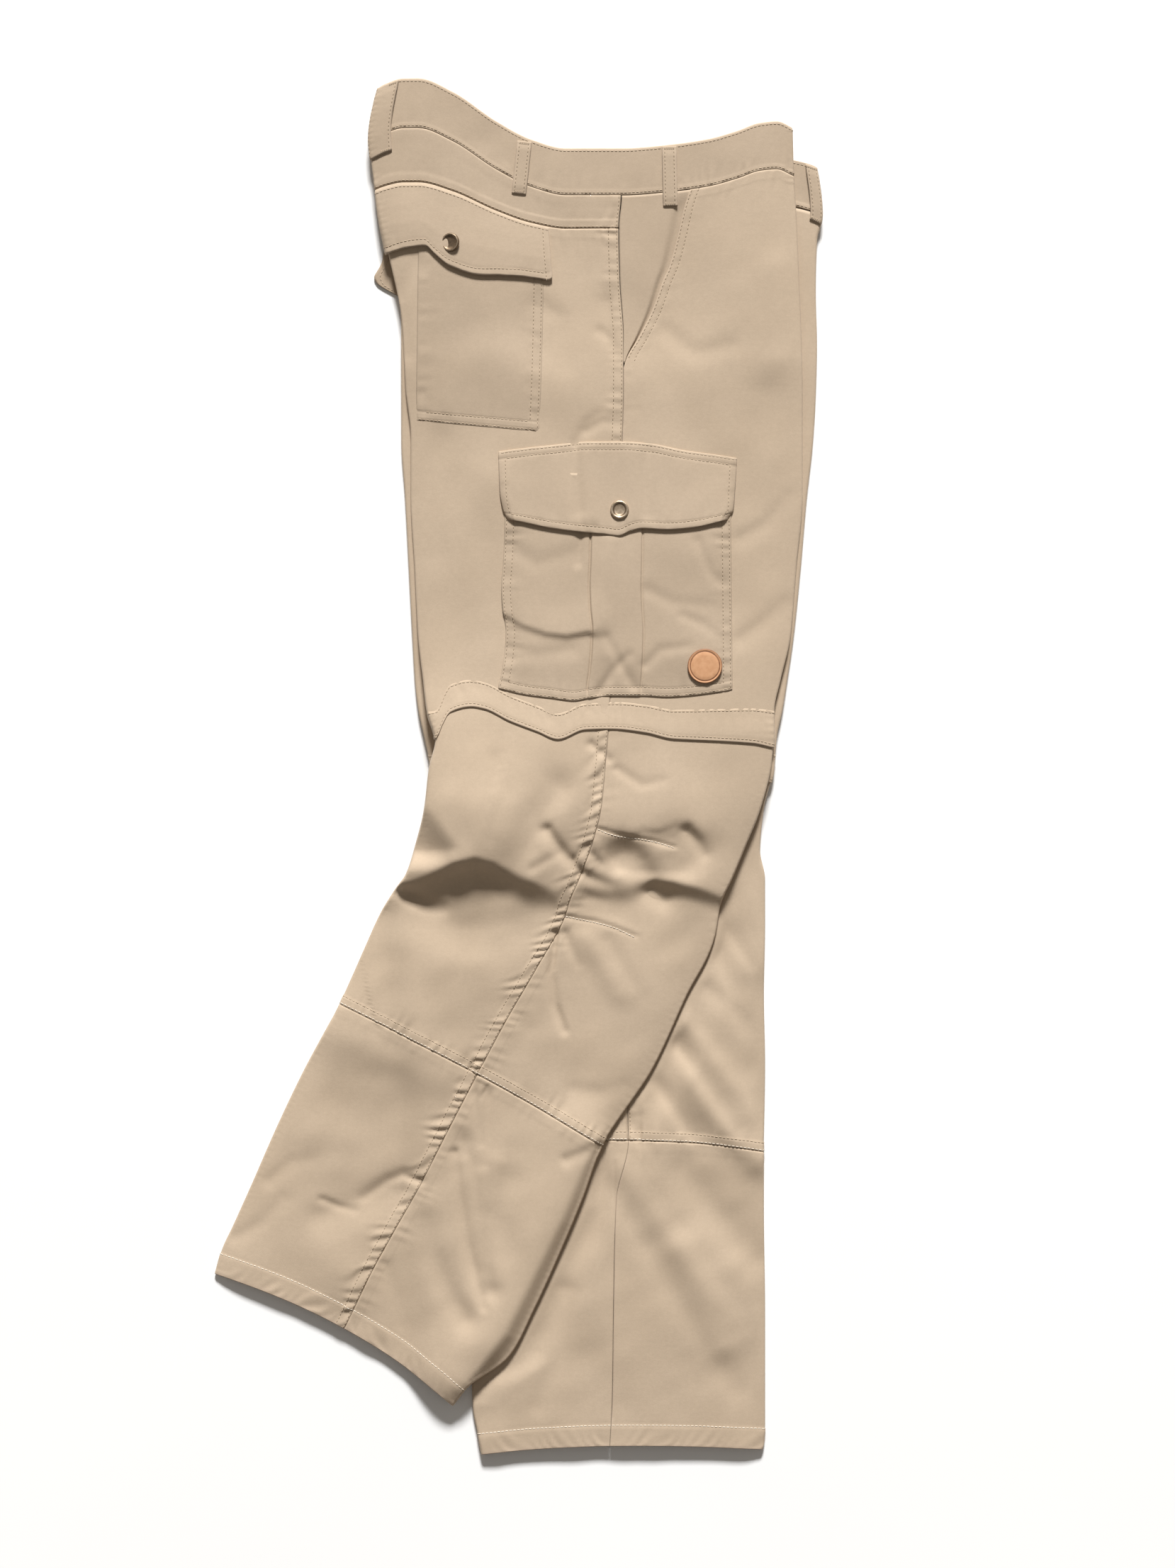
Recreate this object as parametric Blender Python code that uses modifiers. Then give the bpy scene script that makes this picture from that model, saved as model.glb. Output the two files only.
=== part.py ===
"""Convertible zip-off trousers laid on their left side, modelled as flat-laid cloth.

X runs across the garment from back to front, Y up towards the waist, Z off the surface.
The tables are in millimetres from the lower left corner of the laid garment.
"""
import math

import bmesh
import bpy
import numpy as np
from mathutils import Vector
from mathutils.bvhtree import BVHTree

MM = 0.001
MID_X = 248.5
MID_Y = 557.5

WALL = 1.4
SEAM_GAP = 0.3
FOLD_RADIUS = 2.2
TUBE = 2 * FOLD_RADIUS
STACK_GAP = 0.9
COVER_ROOM = 1.9
CROWN = 3.0
CROWN_REACH = 32.0
HIP_SINK = 4.5

# Right leg, on top: along, back x, back y, seam x, front x, front y
RIGHT_ROWS = (
    (1058, 134, 1058, 330, 469, 1058),
    (1020, 127, 1020, 330, 470, 1020),
    (993, 131, 993, 328, 472, 993),
    (950, 142, 950, 329, 474, 950),
    (904, 153, 904, 332, 476, 904),
    (858, 156, 858, 332, 477, 858),
    (823, 160, 823, 331, 477, 823),
    (777, 160, 777, 329, 477, 777),
    (720, 163, 720, 327, 472, 720),
    (662, 166, 662, 324, 467, 662),
    (628, 170, 628, 323, 459, 628),
    (604, 173, 604, 321, 454, 604),
    (582, 180, 581, 320, 453, 574),
    (560, 175, 559, 318, 451, 556),
    (524, 171, 524, 314, 442, 521),
    (496, 164, 496, 307, 432, 496),
    (464, 156, 471, 295, 420, 467),
    (450, 148, 460, 289, 411, 447),
    (437, 136, 441, 285, 406, 420),
    (395, 124, 415, 262, 383, 372),
    (352, 113, 390, 237, 356, 314),
    (309, 102, 366, 214, 315, 251),
    (263, 73, 312, 190, 299, 208),
    (218, 51, 266, 167, 281, 165),
    (179, 30, 218, 145, 260, 119),
    (148, 16, 187, 128, 239, 80),
    (119, 6, 165, 114, 206, 56),
    (103, 1, 147, 106, 194, 41),
)
# Left leg, beneath: the same columns
LEFT_ROWS = (
    (1058, 135, 1058, 330, 489, 1058),
    (1020, 127, 1020, 330, 493, 1020),
    (993, 133, 993, 329, 489, 993),
    (950, 144, 950, 330, 488, 950),
    (904, 152, 904, 332, 489, 904),
    (858, 152, 858, 333, 488, 858),
    (823, 152, 823, 333, 486, 823),
    (777, 155, 777, 334, 481, 777),
    (720, 158, 720, 334, 476, 720),
    (662, 161, 662, 334, 470, 662),
    (628, 163, 628, 335, 465, 628),
    (603, 166, 603, 335, 461, 603),
    (585, 170, 585, 335, 457, 585),
    (556, 176, 556, 335, 454, 556),
    (524, 180, 524, 335, 446, 524),
    (490, 184, 490, 335, 443, 490),
    (467, 186, 467, 335, 447, 467),
    (432, 189, 432, 335, 447, 432),
    (375, 194, 375, 335, 446, 375),
    (317, 200, 317, 335, 447, 317),
    (255, 204, 247, 336, 446, 246),
    (205, 206, 202, 326, 446, 202),
    (119, 208, 116, 324, 447, 116),
    (44, 210, 38, 323, 447, 38),
    (25, 214, 17, 322, 447, 20),
    (8, 217, 1, 321, 445, 5),
)
# Rise of the waist across the right side and across the left side: x, rise
RIGHT_WAVE = (
    (127, 45), (140, 52), (154, 56), (166, 56), (194, 45), (229, 22), (258, 7),
    (286, 0), (330, 0), (370, 3), (401, 7), (424, 13.5), (442, 20), (456, 21.5), (470, 16),
)
LEFT_WAVE = (
    (127, 45), (140, 52), (154, 56), (166, 56), (194, 45), (229, 22), (258, 7),
    (286, 0), (330, 0), (424, 0), (470, -9), (482, -12), (489, -15), (494, -19),
)
# How much of that rise is left further down: along, share
WAVE_FADE = (
    (823, 0), (858, 0.08), (904, 0.22), (950, 0.42), (993, 0.66), (1020, 0.96), (1058, 1),
)
# Rise of the right zip line across the leg, and how far it is felt: x, rise
ZIP_WAVE = (
    (174, -2), (181, -1), (186, 10), (192, 20), (209, 24), (220, 22), (240, 12), (263, 3),
    (279, -3), (301, 5), (326, 6), (350, 4), (373, 0), (436, 1), (453, -1),
)
ZIP_FADE = ((525, 0), (572, 1), (606, 1), (665, 0))
# Slant pocket edge of the right front: along, x
SLANT = (
    (881, 332.3), (889, 335), (904, 343.8), (927, 355.5), (950, 364), (961, 369),
    (984, 375.5), (1008, 381.5), (1020, 386),
)
# How far the hidden half of each panel runs back from its fold: along, front, back
REACH = (
    (0, 1, 1), (805, 1, 1), (815, 0.93, 0.94), (832, 0.72, 0.72), (850, 0.52, 0.48),
    (870, 0.4, 0.3), (900, 0.32, 0.16), (1058, 0.32, 0.16),
)
# Large folds: height at the start and the end, width on the left and the right, then places
RIGHT_FOLDS = (
    (15, 9, 40, 8, (156, 467), (171, 472), (195, 483), (212, 488), (229, 483), (253, 470), (273, 462)),
    (3, 3, 26, 20, (200, 530), (229, 522), (255, 513)),
    (-5, -2, 18, 6, (158, 492), (174, 491), (190, 494)),
    (4.5, 2.5, 14, 30, (146, 418), (206, 402), (252, 411), (286, 430)),
    (-2.5, -1.5, 9, 14, (178, 435), (200, 425), (224, 424), (249, 432), (284, 446)),
    (3, 3, 9, 8, (348, 492), (364, 485), (377, 477), (385, 470)),
    (8, 6.5, 24, 5.5, (358, 468), (373, 467), (393, 463), (412, 458)),
    (-3.5, -4, 9, 7, (328, 484), (338, 471), (351, 458), (364, 452)),
    (-2.5, -3, 9, 10, (315, 450), (329, 446), (351, 444)),
    (7, 11, 6, 24, (302, 256), (277, 195), (254, 150), (231, 103), (200, 64)),
    (1.5, 1.5, 16, 16, (229, 902), (186, 856)),
    (1.5, 1.5, 12, 12, (455, 960), (458, 890)),
    (4, 3, 26, 30, (148, 352), (137, 335), (114, 345)),
    (1.5, 1.5, 26, 26, (137, 237), (108, 168)),
    (-2, -3, 6, 7, (204, 253), (208, 225), (209, 191), (215, 156), (224, 135)),
    (-1.5, -3, 7, 8, (172, 191), (178, 167), (189, 138), (204, 112)),
    (1.5, 1.5, 14, 14, (125, 179), (102, 139)),
    (-2.2, -2, 10, 7, (143, 216), (114, 204), (88, 195)),
)
LEFT_FOLDS = (
    (4, 4, 12, 9, (374, 326), (401, 283), (440, 240)),
    (-2, -2, 10, 10, (380, 232), (436, 160)),
    (3, 3, 12, 12, (380, 168), (412, 90)),
    (3.5, 2.5, 12, 10, (292, 202), (263, 145), (237, 76)),
    (2, 2, 12, 12, (405, 480), (440, 400)),
    (-3, -2.5, 8, 12, (393, 407), (381, 375), (370, 352)),
)


def curve(table, at, column=1):
    """Smooth line through the stations of a table, with no overshoot."""
    rows = sorted(table)
    key = np.array([row[0] for row in rows], float)
    val = np.array([row[column] for row in rows], float)
    step = np.diff(key)
    slope = np.diff(val) / step
    tangent = np.concatenate(([slope[0]], np.zeros(len(slope) - 1), [slope[-1]]))
    for i in range(1, len(slope)):
        if slope[i - 1] * slope[i] > 0:
            near = 2 * step[i] + step[i - 1]
            far = step[i] + 2 * step[i - 1]
            tangent[i] = (near + far) / (near / slope[i - 1] + far / slope[i])
    at = np.clip(np.asarray(at, float), key[0], key[-1])
    k = np.clip(np.searchsorted(key, at) - 1, 0, len(step) - 1)
    t = (at - key[k]) / step[k]
    rise = (3 - 2 * t) * t * t
    start = val[k] * (1 - rise) + val[k + 1] * rise
    lean = tangent[k] * (1 - t) - tangent[k + 1] * t
    return start + step[k] * t * (1 - t) * lean


def ease(t):
    t = np.clip(t, 0, 1)
    return t * t * (3 - 2 * t)


def plateau(value, low, high, ramp):
    """One between low and high, easing to nought over the ramp outside them."""
    return ease((value - low + ramp) / ramp) * ease((high + ramp - value) / ramp)


def fold_height(fold, x, y):
    """One soft ridge or trough along a bent line, rounded at its ends."""
    first, last, left, right = fold[:4]
    spots = fold[4:]
    nearest = np.full(np.broadcast(x, y).shape, np.inf)
    height = np.zeros(nearest.shape)
    for i in range(len(spots) - 1):
        dx = spots[i + 1][0] - spots[i][0]
        dy = spots[i + 1][1] - spots[i][1]
        px = x - spots[i][0]
        py = y - spots[i][1]
        t = np.clip((px * dx + py * dy) / (dx * dx + dy * dy), 0, 1)
        away = (px - t * dx) ** 2 + (py - t * dy) ** 2
        side = (dx * py - dy * px) / np.sqrt((dx * dx + dy * dy) * (away + 1e-6))
        width = (left + right) / 2 + (left - right) / 2 * np.clip(side, -1, 1)
        share = (i + t) / (len(spots) - 1)
        here = (first + (last - first) * share) * np.exp(-away / (2 * width * width))
        height = np.where(away < nearest, here, height)
        nearest = np.minimum(away, nearest)
    return height


def folds(table, x, y):
    """Height of all the soft ridges and troughs at a place."""
    total = np.zeros(np.broadcast(x, y).shape)
    for fold in table:
        total = total + fold_height(fold, x, y)
    return total


def across(rows, wave, zip_wave, u, v):
    """Place on a leg: u is -1 at the back fold, 0 at the side seam, 1 at the front fold."""
    u, v = np.broadcast_arrays(np.asarray(u, float), np.asarray(v, float))
    back = (curve(rows, v, 1), curve(rows, v, 2))
    seam = (curve(rows, v, 3), v)
    front = (curve(rows, v, 4), curve(rows, v, 5))
    place = []
    for b, s, f in zip(back, seam, front):
        place.append(s + (f - b) / 2 * u + (f + b - 2 * s) / 2 * u * u)
    x, y = place
    y = y + curve(wave, x) * curve(WAVE_FADE, v) * (v > 823)
    if zip_wave:
        y = y + curve(ZIP_WAVE, x) * curve(ZIP_FADE, v)
    return x, y


def right_plan(u, v):
    return across(RIGHT_ROWS, RIGHT_WAVE, True, u, v)


def left_plan(u, v):
    return across(LEFT_ROWS, LEFT_WAVE, False, u, v)


def left_back_edge(y):
    return curve([(row[2], row[1]) for row in LEFT_ROWS], y)


def left_front_edge(y):
    return curve([(row[5], row[4]) for row in LEFT_ROWS], y)


def right_front_edge(y):
    return curve([(row[5], row[4]) for row in RIGHT_ROWS], y)


EDGE_ALONG = np.linspace(103, 1058, 240)
EDGE_X = np.concatenate([right_plan(-1, EDGE_ALONG)[0], right_plan(1, EDGE_ALONG)[0]])
EDGE_Y = np.concatenate([right_plan(-1, EDGE_ALONG)[1], right_plan(1, EDGE_ALONG)[1]])


def from_edge(x, y):
    """Distance from the nearer fold of the right leg."""
    x, y = np.broadcast_arrays(np.asarray(x, float), np.asarray(y, float))
    away = (x[..., None] - EDGE_X) ** 2 + (y[..., None] - EDGE_Y) ** 2
    return np.sqrt(away.min(axis=-1))


def left_bottom(x, y):
    lift = 1.8 * plateau(y, 538, 582, 60) + 1.8 * ease((y - 830) / 60)
    return lift + 0 * x


def left_top(x, y):
    shown = ease((x - right_front_edge(y) - 10) / 30)
    rim = 1 - np.exp(-np.maximum(left_front_edge(y) - x, 0) / 24)
    return left_bottom(x, y) + TUBE + shown * (CROWN * rim + folds(LEFT_FOLDS, x, y))


def right_bottom(x, y):
    on_left = ease((x - left_back_edge(y) + 56) / 28)
    level = left_bottom(x, y) + TUBE + STACK_GAP + COVER_ROOM * plateau(y, 540, 632, 60)
    return level * on_left


def right_top(x, y):
    """Outer face of the right leg; the middle of the hip sinks onto the left side beneath."""
    away = from_edge(x, y)
    crown = CROWN * (1 - np.exp(-away / CROWN_REACH))
    sink = HIP_SINK * ease((away - 52) / 55) * ease((y - 850) / 80)
    return right_bottom(x, y) + TUBE + crown - sink + folds(RIGHT_FOLDS, x, y)


RIGHT = (right_plan, right_top, right_bottom)
LEFT = (left_plan, left_bottom, left_top)


def half_ring(leg, side, v, start, reach, columns, inner_columns):
    """Points from the outseam round one fold and back under towards the inseam."""
    plan, outer, inner = leg
    edge = np.array(plan(side, v))
    near = np.array(plan(0.98 * side, v))
    rate = np.linalg.norm(edge - near) / 0.02
    outward = (edge - near) / np.linalg.norm(edge - near)
    turn = 1 - FOLD_RADIUS / rate
    x, y = plan(side * np.linspace(start, turn, columns), v)
    points = [np.stack([x, y, outer(x, y)], axis=1)]
    middle = edge - outward * FOLD_RADIUS
    high = float(outer(middle[0], middle[1]))
    low = float(inner(middle[0], middle[1]))
    for angle in (45, 0, -45):
        out = FOLD_RADIUS * math.cos(math.radians(angle))
        up = (high - low) / 2 * math.sin(math.radians(angle))
        spot = middle + outward * out
        points.append(np.array([[spot[0], spot[1], (high + low) / 2 + up]]))
    stop = turn - reach * (turn - SEAM_GAP / 2 / rate)
    x, y = plan(side * np.linspace(turn, stop, inner_columns), v)
    points.append(np.stack([x, y, inner(x, y)], axis=1))
    return np.concatenate(points)


def reach(side, v):
    return float(curve(REACH, v, 1 if side > 0 else 2))


HALF_WIDTH = 150.0


def seam_start(v):
    """Where a panel begins at the side seam: half a seam gap, as a share of the half width."""
    return SEAM_GAP / 2 / HALF_WIDTH


def slant_start(v):
    """Where the right front begins: on the slant pocket edge, below it at the side seam."""
    if v <= 881.5:
        return seam_start(v)
    x = float(curve(SLANT, v))
    b = float(curve(RIGHT_ROWS, v, 1))
    s = float(curve(RIGHT_ROWS, v, 3))
    f = float(curve(RIGHT_ROWS, v, 4))
    bend = (f + b - 2 * s) / 2
    run = (f - b) / 2
    return (-run + math.sqrt(run * run + 4 * bend * (x - s))) / (2 * bend)


def panel_grid(leg, side, stations, start, columns, inner_columns):
    rings = []
    for v in stations:
        rings.append(half_ring(leg, side, v, start(v), reach(side, v), columns, inner_columns))
    return np.array(rings)


def normals(grid):
    """Unit normals of a grid of points, pointing away from the cloth's own fold."""
    along = np.gradient(grid, axis=0)
    over = np.gradient(grid, axis=1)
    normal = np.cross(along, over)
    return normal / np.linalg.norm(normal, axis=2, keepdims=True)


def moved_out(grid, distance, outward):
    """The same grid moved out along its normals; distance may vary over the grid."""
    return grid + normals(grid) * outward * np.asarray(distance, float)[..., None]


scene_objects = list(bpy.data.objects)
for old in scene_objects:
    bpy.data.objects.remove(old, do_unlink=True)

garment = bpy.data.collections.new("Convertible zip-off trousers")
bpy.context.scene.collection.children.link(garment)


def material(name, colour, rough, metal=0.0):
    made = bpy.data.materials.new(name)
    made.use_nodes = True
    shader = made.node_tree.nodes["Principled BSDF"]
    shader.inputs["Base Color"].default_value = (*colour, 1.0)
    shader.inputs["Roughness"].default_value = rough
    shader.inputs["Metallic"].default_value = metal
    return made


CANVAS = (0.50, 0.39, 0.28)
BRASS = (0.34, 0.22, 0.11)
LEATHER = (0.62, 0.38, 0.22)


def add_mesh(name, points, faces, colour=CANVAS, rough=0.85, metal=0.0):
    place = (np.asarray(points, float) - (MID_X, MID_Y, 0)) * MM
    mesh = bpy.data.meshes.new(name)
    mesh.from_pydata(place.tolist(), [], faces)
    mesh.update()
    made = bpy.data.objects.new(name, mesh)
    made.data.materials.append(material(name, colour, rough, metal))
    garment.objects.link(made)
    return made


def grid_faces(rows, columns, flip):
    faces = []
    for i in range(rows - 1):
        for j in range(columns - 1):
            a = i * columns + j
            face = (a, a + 1, a + columns + 1, a + columns)
            faces.append(face[::-1] if flip else face)
    return faces


def cloth(name, grid, outward, wall=WALL, colour=CANVAS, rough=0.85):
    """A panel: the grid is its outer face, Solidify gives it the wall on the inner side."""
    rows, columns = grid.shape[:2]
    made = add_mesh(name, grid.reshape(-1, 3), grid_faces(rows, columns, outward > 0), colour, rough)
    thick = made.modifiers.new("Cloth wall", "SOLIDIFY")
    thick.thickness = wall * MM
    thick.offset = -1.0
    thick.use_even_offset = False
    return made


def surface(grids):
    """Search tree over the outer faces of some grids, in millimetres."""
    points = []
    faces = []
    for grid in grids:
        base = len(points)
        rows, columns = grid.shape[:2]
        points += [Vector(p) for p in grid.reshape(-1, 3)]
        faces += [tuple(base + k for k in face) for face in grid_faces(rows, columns, False)]
    return BVHTree.FromPolygons(points, faces)


def level_under(tree, x, y):
    hit = tree.ray_cast(Vector((x, y, 200.0)), Vector((0, 0, -1)))
    return -1.0 if hit[0] is None else hit[0].z


def seated(x, y, clearance, tree, wall=WALL):
    """Outer face of a piece that lies on other cloth, clear of it by the given heights."""
    z = np.zeros(x.shape)
    rows, columns = x.shape
    for i in range(rows):
        for j in range(columns):
            z[i, j] = level_under(tree, x[i, j], y[i, j])
    z = np.where(z > -1.0, z, z.max())
    z = z + clearance + wall
    least = float(np.min(clearance))
    for _ in range(3):
        lift = np.zeros(z.shape)
        for i in range(rows - 1):
            for j in range(columns - 1):
                short = cell_shortfall(x, y, z, i, j, tree, wall + least)
                if short > 0:
                    lift[i:i + 2, j:j + 2] = np.maximum(lift[i:i + 2, j:j + 2], short)
        z = z + lift
    return np.stack([x, y, z], axis=2)


def cell_shortfall(x, y, z, i, j, tree, thick):
    worst = 0.0
    for a in (0.0, 0.25, 0.5, 0.75, 1.0):
        for b in (0.0, 0.25, 0.5, 0.75, 1.0):
            weight = np.array([[(1 - a) * (1 - b), (1 - a) * b], [a * (1 - b), a * b]])
            px = (x[i:i + 2, j:j + 2] * weight).sum()
            py = (y[i:i + 2, j:j + 2] * weight).sum()
            pz = (z[i:i + 2, j:j + 2] * weight).sum()
            under = level_under(tree, px, py)
            if under > -1.0:
                worst = max(worst, under + thick - pz)
    return worst


# Stations down the right and the left leg, shared by the pieces that meet there
RIGHT_THIGH = (993, 965, 935, 904, 881, 858, 835, 815, 795, 770, 742, 715, 688, 660, 636, 618, 604, 594)
RIGHT_KNEE = (585, 582, 560, 540, 520, 502, 484, 467, 450, 434, 415, 395, 373, 352, 330, 309)
RIGHT_SHIN = (309, 286, 263, 240, 218, 198, 179, 163, 148, 133, 119, 109, 103)
LEFT_THIGH = (993, 950, 904, 875, 850, 832, 815, 795, 760, 720, 680, 640, 603, 580, 568, 557)
LEFT_KNEE = (548, 545, 524, 505, 486, 467, 443, 415, 385, 355, 320, 288, 255)
LEFT_SHIN = (255, 230, 205, 175, 145, 119, 90, 65, 44, 25, 8)
CROSS_GAP = 0.3


def trimmed(stations, top=CROSS_GAP, bottom=CROSS_GAP):
    """Stations with the ends drawn in by half a cross seam gap."""
    return (stations[0] - top, *stations[1:-1], stations[-1] + bottom)


surfaces = {}


def panel(name, leg, side, stations, start, columns, inner_columns):
    grid = panel_grid(leg, side, stations, start, columns, inner_columns)
    surfaces[name] = grid
    return cloth(name, grid, side if leg is RIGHT else -side)


FRONT_COLUMNS = 7
BACK_COLUMNS = 8
LEFT_COLUMNS = 5
INNER = 4


def band_ring(leg, v, front_columns, facing_columns, back_columns, inner_columns):
    """A waistband station: from centre front round to centre back."""
    front = half_ring(leg, 1, v, front_columns[0], reach(1, v), front_columns[1], inner_columns)
    back = half_ring(leg, -1, v, 0, reach(-1, v), back_columns, inner_columns)
    parts = [front[::-1]]
    if facing_columns > 1:
        x, y = leg[0](np.linspace(front_columns[0], 0, facing_columns)[1:-1], v)
        parts.append(np.stack([x, y, leg[1](x, y)], axis=1))
    parts.append(back if facing_columns > 1 else back[1:])
    return np.concatenate(parts)


FACING_COLUMNS = 4
slant_top = slant_start(1020)
right_band = np.array([
    band_ring(RIGHT, v, (slant_top, FRONT_COLUMNS), FACING_COLUMNS, BACK_COLUMNS, INNER)
    for v in (1058, 1039, 1020 + CROSS_GAP)
])
left_band = np.array([
    band_ring(LEFT, v, (0, LEFT_COLUMNS), 0, BACK_COLUMNS, INNER)
    for v in (1058, 1039, 1020 + CROSS_GAP)
])
BAND_WALL = 1.7
surfaces["waistband_right"] = right_band
cloth("waistband_right", right_band, -1, BAND_WALL)
cloth("waistband_left", left_band, 1, BAND_WALL)

yoke_stations = (1020 - CROSS_GAP, 1006, 993 + CROSS_GAP)
panel("yoke_right", RIGHT, -1, yoke_stations, seam_start, BACK_COLUMNS, INNER)
panel("yoke_left", LEFT, -1, yoke_stations, seam_start, BACK_COLUMNS, INNER)

front_stations = (1020 - CROSS_GAP, 1006, *RIGHT_THIGH)
panel("thigh_front_right", RIGHT, 1, front_stations, slant_start, FRONT_COLUMNS, INNER)
panel("thigh_back_right", RIGHT, -1, trimmed(RIGHT_THIGH, CROSS_GAP, 0), seam_start, BACK_COLUMNS, INNER)
panel("thigh_front_left", LEFT, 1, (1020 - 3 * CROSS_GAP, 1006, *LEFT_THIGH), seam_start, LEFT_COLUMNS, INNER)
panel("thigh_back_left", LEFT, -1, trimmed(LEFT_THIGH, CROSS_GAP, 0), seam_start, BACK_COLUMNS, INNER)

panel("knee_front_right", RIGHT, 1, trimmed(RIGHT_KNEE, 0), seam_start, FRONT_COLUMNS, INNER)
panel("knee_back_right", RIGHT, -1, trimmed(RIGHT_KNEE, 0), seam_start, BACK_COLUMNS, INNER)
panel("shin_front_right", RIGHT, 1, trimmed(RIGHT_SHIN, CROSS_GAP, 0), seam_start, FRONT_COLUMNS, INNER)
panel("shin_back_right", RIGHT, -1, trimmed(RIGHT_SHIN, CROSS_GAP, 0), seam_start, BACK_COLUMNS, INNER)
panel("knee_front_left", LEFT, 1, trimmed(LEFT_KNEE, 0), seam_start, LEFT_COLUMNS, 7)
panel("knee_back_left", LEFT, -1, trimmed(LEFT_KNEE, 0), seam_start, LEFT_COLUMNS, 6)
panel("shin_front_left", LEFT, 1, trimmed(LEFT_SHIN, CROSS_GAP, 0), seam_start, LEFT_COLUMNS, 7)
panel("shin_back_left", LEFT, -1, trimmed(LEFT_SHIN, CROSS_GAP, 0), seam_start, LEFT_COLUMNS, 6)


def full_ring(leg, v, columns, back_columns, inner_columns):
    """A station all round a leg, from the inseam round the front to the inseam again."""
    front = half_ring(leg, 1, v, 0, 1, columns, inner_columns)
    back = half_ring(leg, -1, v, 0, 1, back_columns, inner_columns)
    return np.concatenate([front[::-1], back[1:]])


def zip_pieces(side_name, leg, tape, cover, columns, back_columns, inner, outward):
    """The zip tape between thigh and knee, and the cover strip that lies over it."""
    ring = np.array([full_ring(leg, v, columns, back_columns, inner) for v in tape])
    cloth("zip_" + side_name, ring, outward)
    strip = np.array([full_ring(leg, v, columns, back_columns, inner) for v in cover])
    strip = moved_out(strip, SEAM_GAP + WALL, outward)
    surfaces["zip_cover_" + side_name] = strip
    cloth("zip_cover_" + side_name, strip, outward)


zip_pieces("right", RIGHT, (593.7, 585.3), (604, 594, 585, 582), FRONT_COLUMNS, BACK_COLUMNS, INNER, -1)
zip_pieces("left", LEFT, (556.7, 548.3), (568, 557, 548, 545), LEFT_COLUMNS, BACK_COLUMNS, INNER, 1)


# Slant pocket facing: level with the side seam, dipping under the front's slant edge
FACING_STATIONS = (1020 - CROSS_GAP, 1006, 993, 965, 935, 904, 890)
FACING_TUCK = 14.0
FACING_DIP = WALL + 3 * SEAM_GAP


def facing_grid():
    rows = []
    for v in FACING_STATIONS:
        seam_u = seam_start(v)
        slant_u = slant_start(v)
        width = float(right_plan(slant_u, v)[0] - right_plan(seam_u, v)[0])
        tuck = 1 + min(1.0, FACING_TUCK / width)
        row = []
        for share, dip in ((0, 0), (0.45, 0), (0.7, 0.1), (0.93, 1), (tuck, 1)):
            x, y = right_plan(seam_u + share * (slant_u - seam_u), v)
            row.append((float(x), float(y), float(right_top(x, y)) - dip * FACING_DIP))
        rows.append(row)
    return np.array(rows)


surfaces["pocket_facing_right"] = facing_grid()
cloth("pocket_facing_right", surfaces["pocket_facing_right"], 1)


def laid(name, x, y, clearance, under, wall=WALL, colour=CANVAS, rough=0.85):
    """A piece that lies on other cloth; columns run to the right and rows run down."""
    grid = seated(x, y, clearance, surface([surfaces[key] for key in under]), wall)
    surfaces[name] = grid
    cloth(name, grid, 1, wall, colour, rough)


def filled(left, right, bottom, top, across_shares, down_shares):
    """Grid of places between a left and a right edge, given as x at each y, and two ends."""
    x = np.zeros((len(down_shares), len(across_shares)))
    y = np.zeros(x.shape)
    for i, down in enumerate(down_shares):
        for j, share in enumerate(across_shares):
            guess = left[0][1] + share * (right[0][1] - left[0][1])
            low = float(curve(bottom, guess))
            high = float(curve(top, guess))
            y[i, j] = high + down * (low - high)
            x_left = float(curve(left, y[i, j]))
            x_right = float(curve(right, y[i, j]))
            x[i, j] = x_left + share * (x_right - x_left)
    return x, y


# Right back patch pocket: x at each y for its sides, y at each x for its ends
BACK_POCKET_LEFT = ((829, 164), (970, 166))
BACK_POCKET_RIGHT = ((829, 264), (880, 266), (970, 268))
BACK_POCKET_BOTTOM = ((160, 838), (200, 834), (235, 831), (268, 828))
BACK_POCKET_TOP = ((160, 985), (180, 984), (210, 976), (268, 966))
x, y = filled(BACK_POCKET_LEFT, BACK_POCKET_RIGHT, BACK_POCKET_BOTTOM, BACK_POCKET_TOP,
              np.linspace(0, 1, 7), np.linspace(0, 1, 9))
laid("back_pocket_right", x, y, SEAM_GAP, ["thigh_back_right"])

# Right back pocket flap: from the yoke seam down, with the lower edge by x
FLAP_WALL = 2.4
BACK_FLAP_LOWER = (
    (127, 950), (137, 951), (151, 953), (165, 954), (171, 950), (183, 944), (200, 942),
    (229, 947), (252, 950), (268, 950), (276, 956),
)
FLAP_END = 0.315


def back_flap_grid():
    rings = []
    for share in (0, 0.2, 0.42, 0.7, 1):
        top = half_ring(RIGHT, -1, 992, FLAP_END, 0.1, 8, 2)[:10]
        ring = []
        for k, point in enumerate(top):
            v = 992 + share * (float(curve(BACK_FLAP_LOWER, point[0])) - 992)
            ring.append(half_ring(RIGHT, -1, v, FLAP_END, 0.1, 8, 2)[k])
        rings.append(ring)
    return np.array(rings)


flap = back_flap_grid()
raise_by = np.array([SEAM_GAP, 2.5, 2.9, 2.9, 2.8])[:, None] + FLAP_WALL
raise_by = np.broadcast_to(raise_by, flap.shape[:2])
flap = moved_out(flap, raise_by, -1)
surfaces["back_flap_right"] = flap
cloth("back_flap_right", flap, -1, FLAP_WALL)

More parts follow.
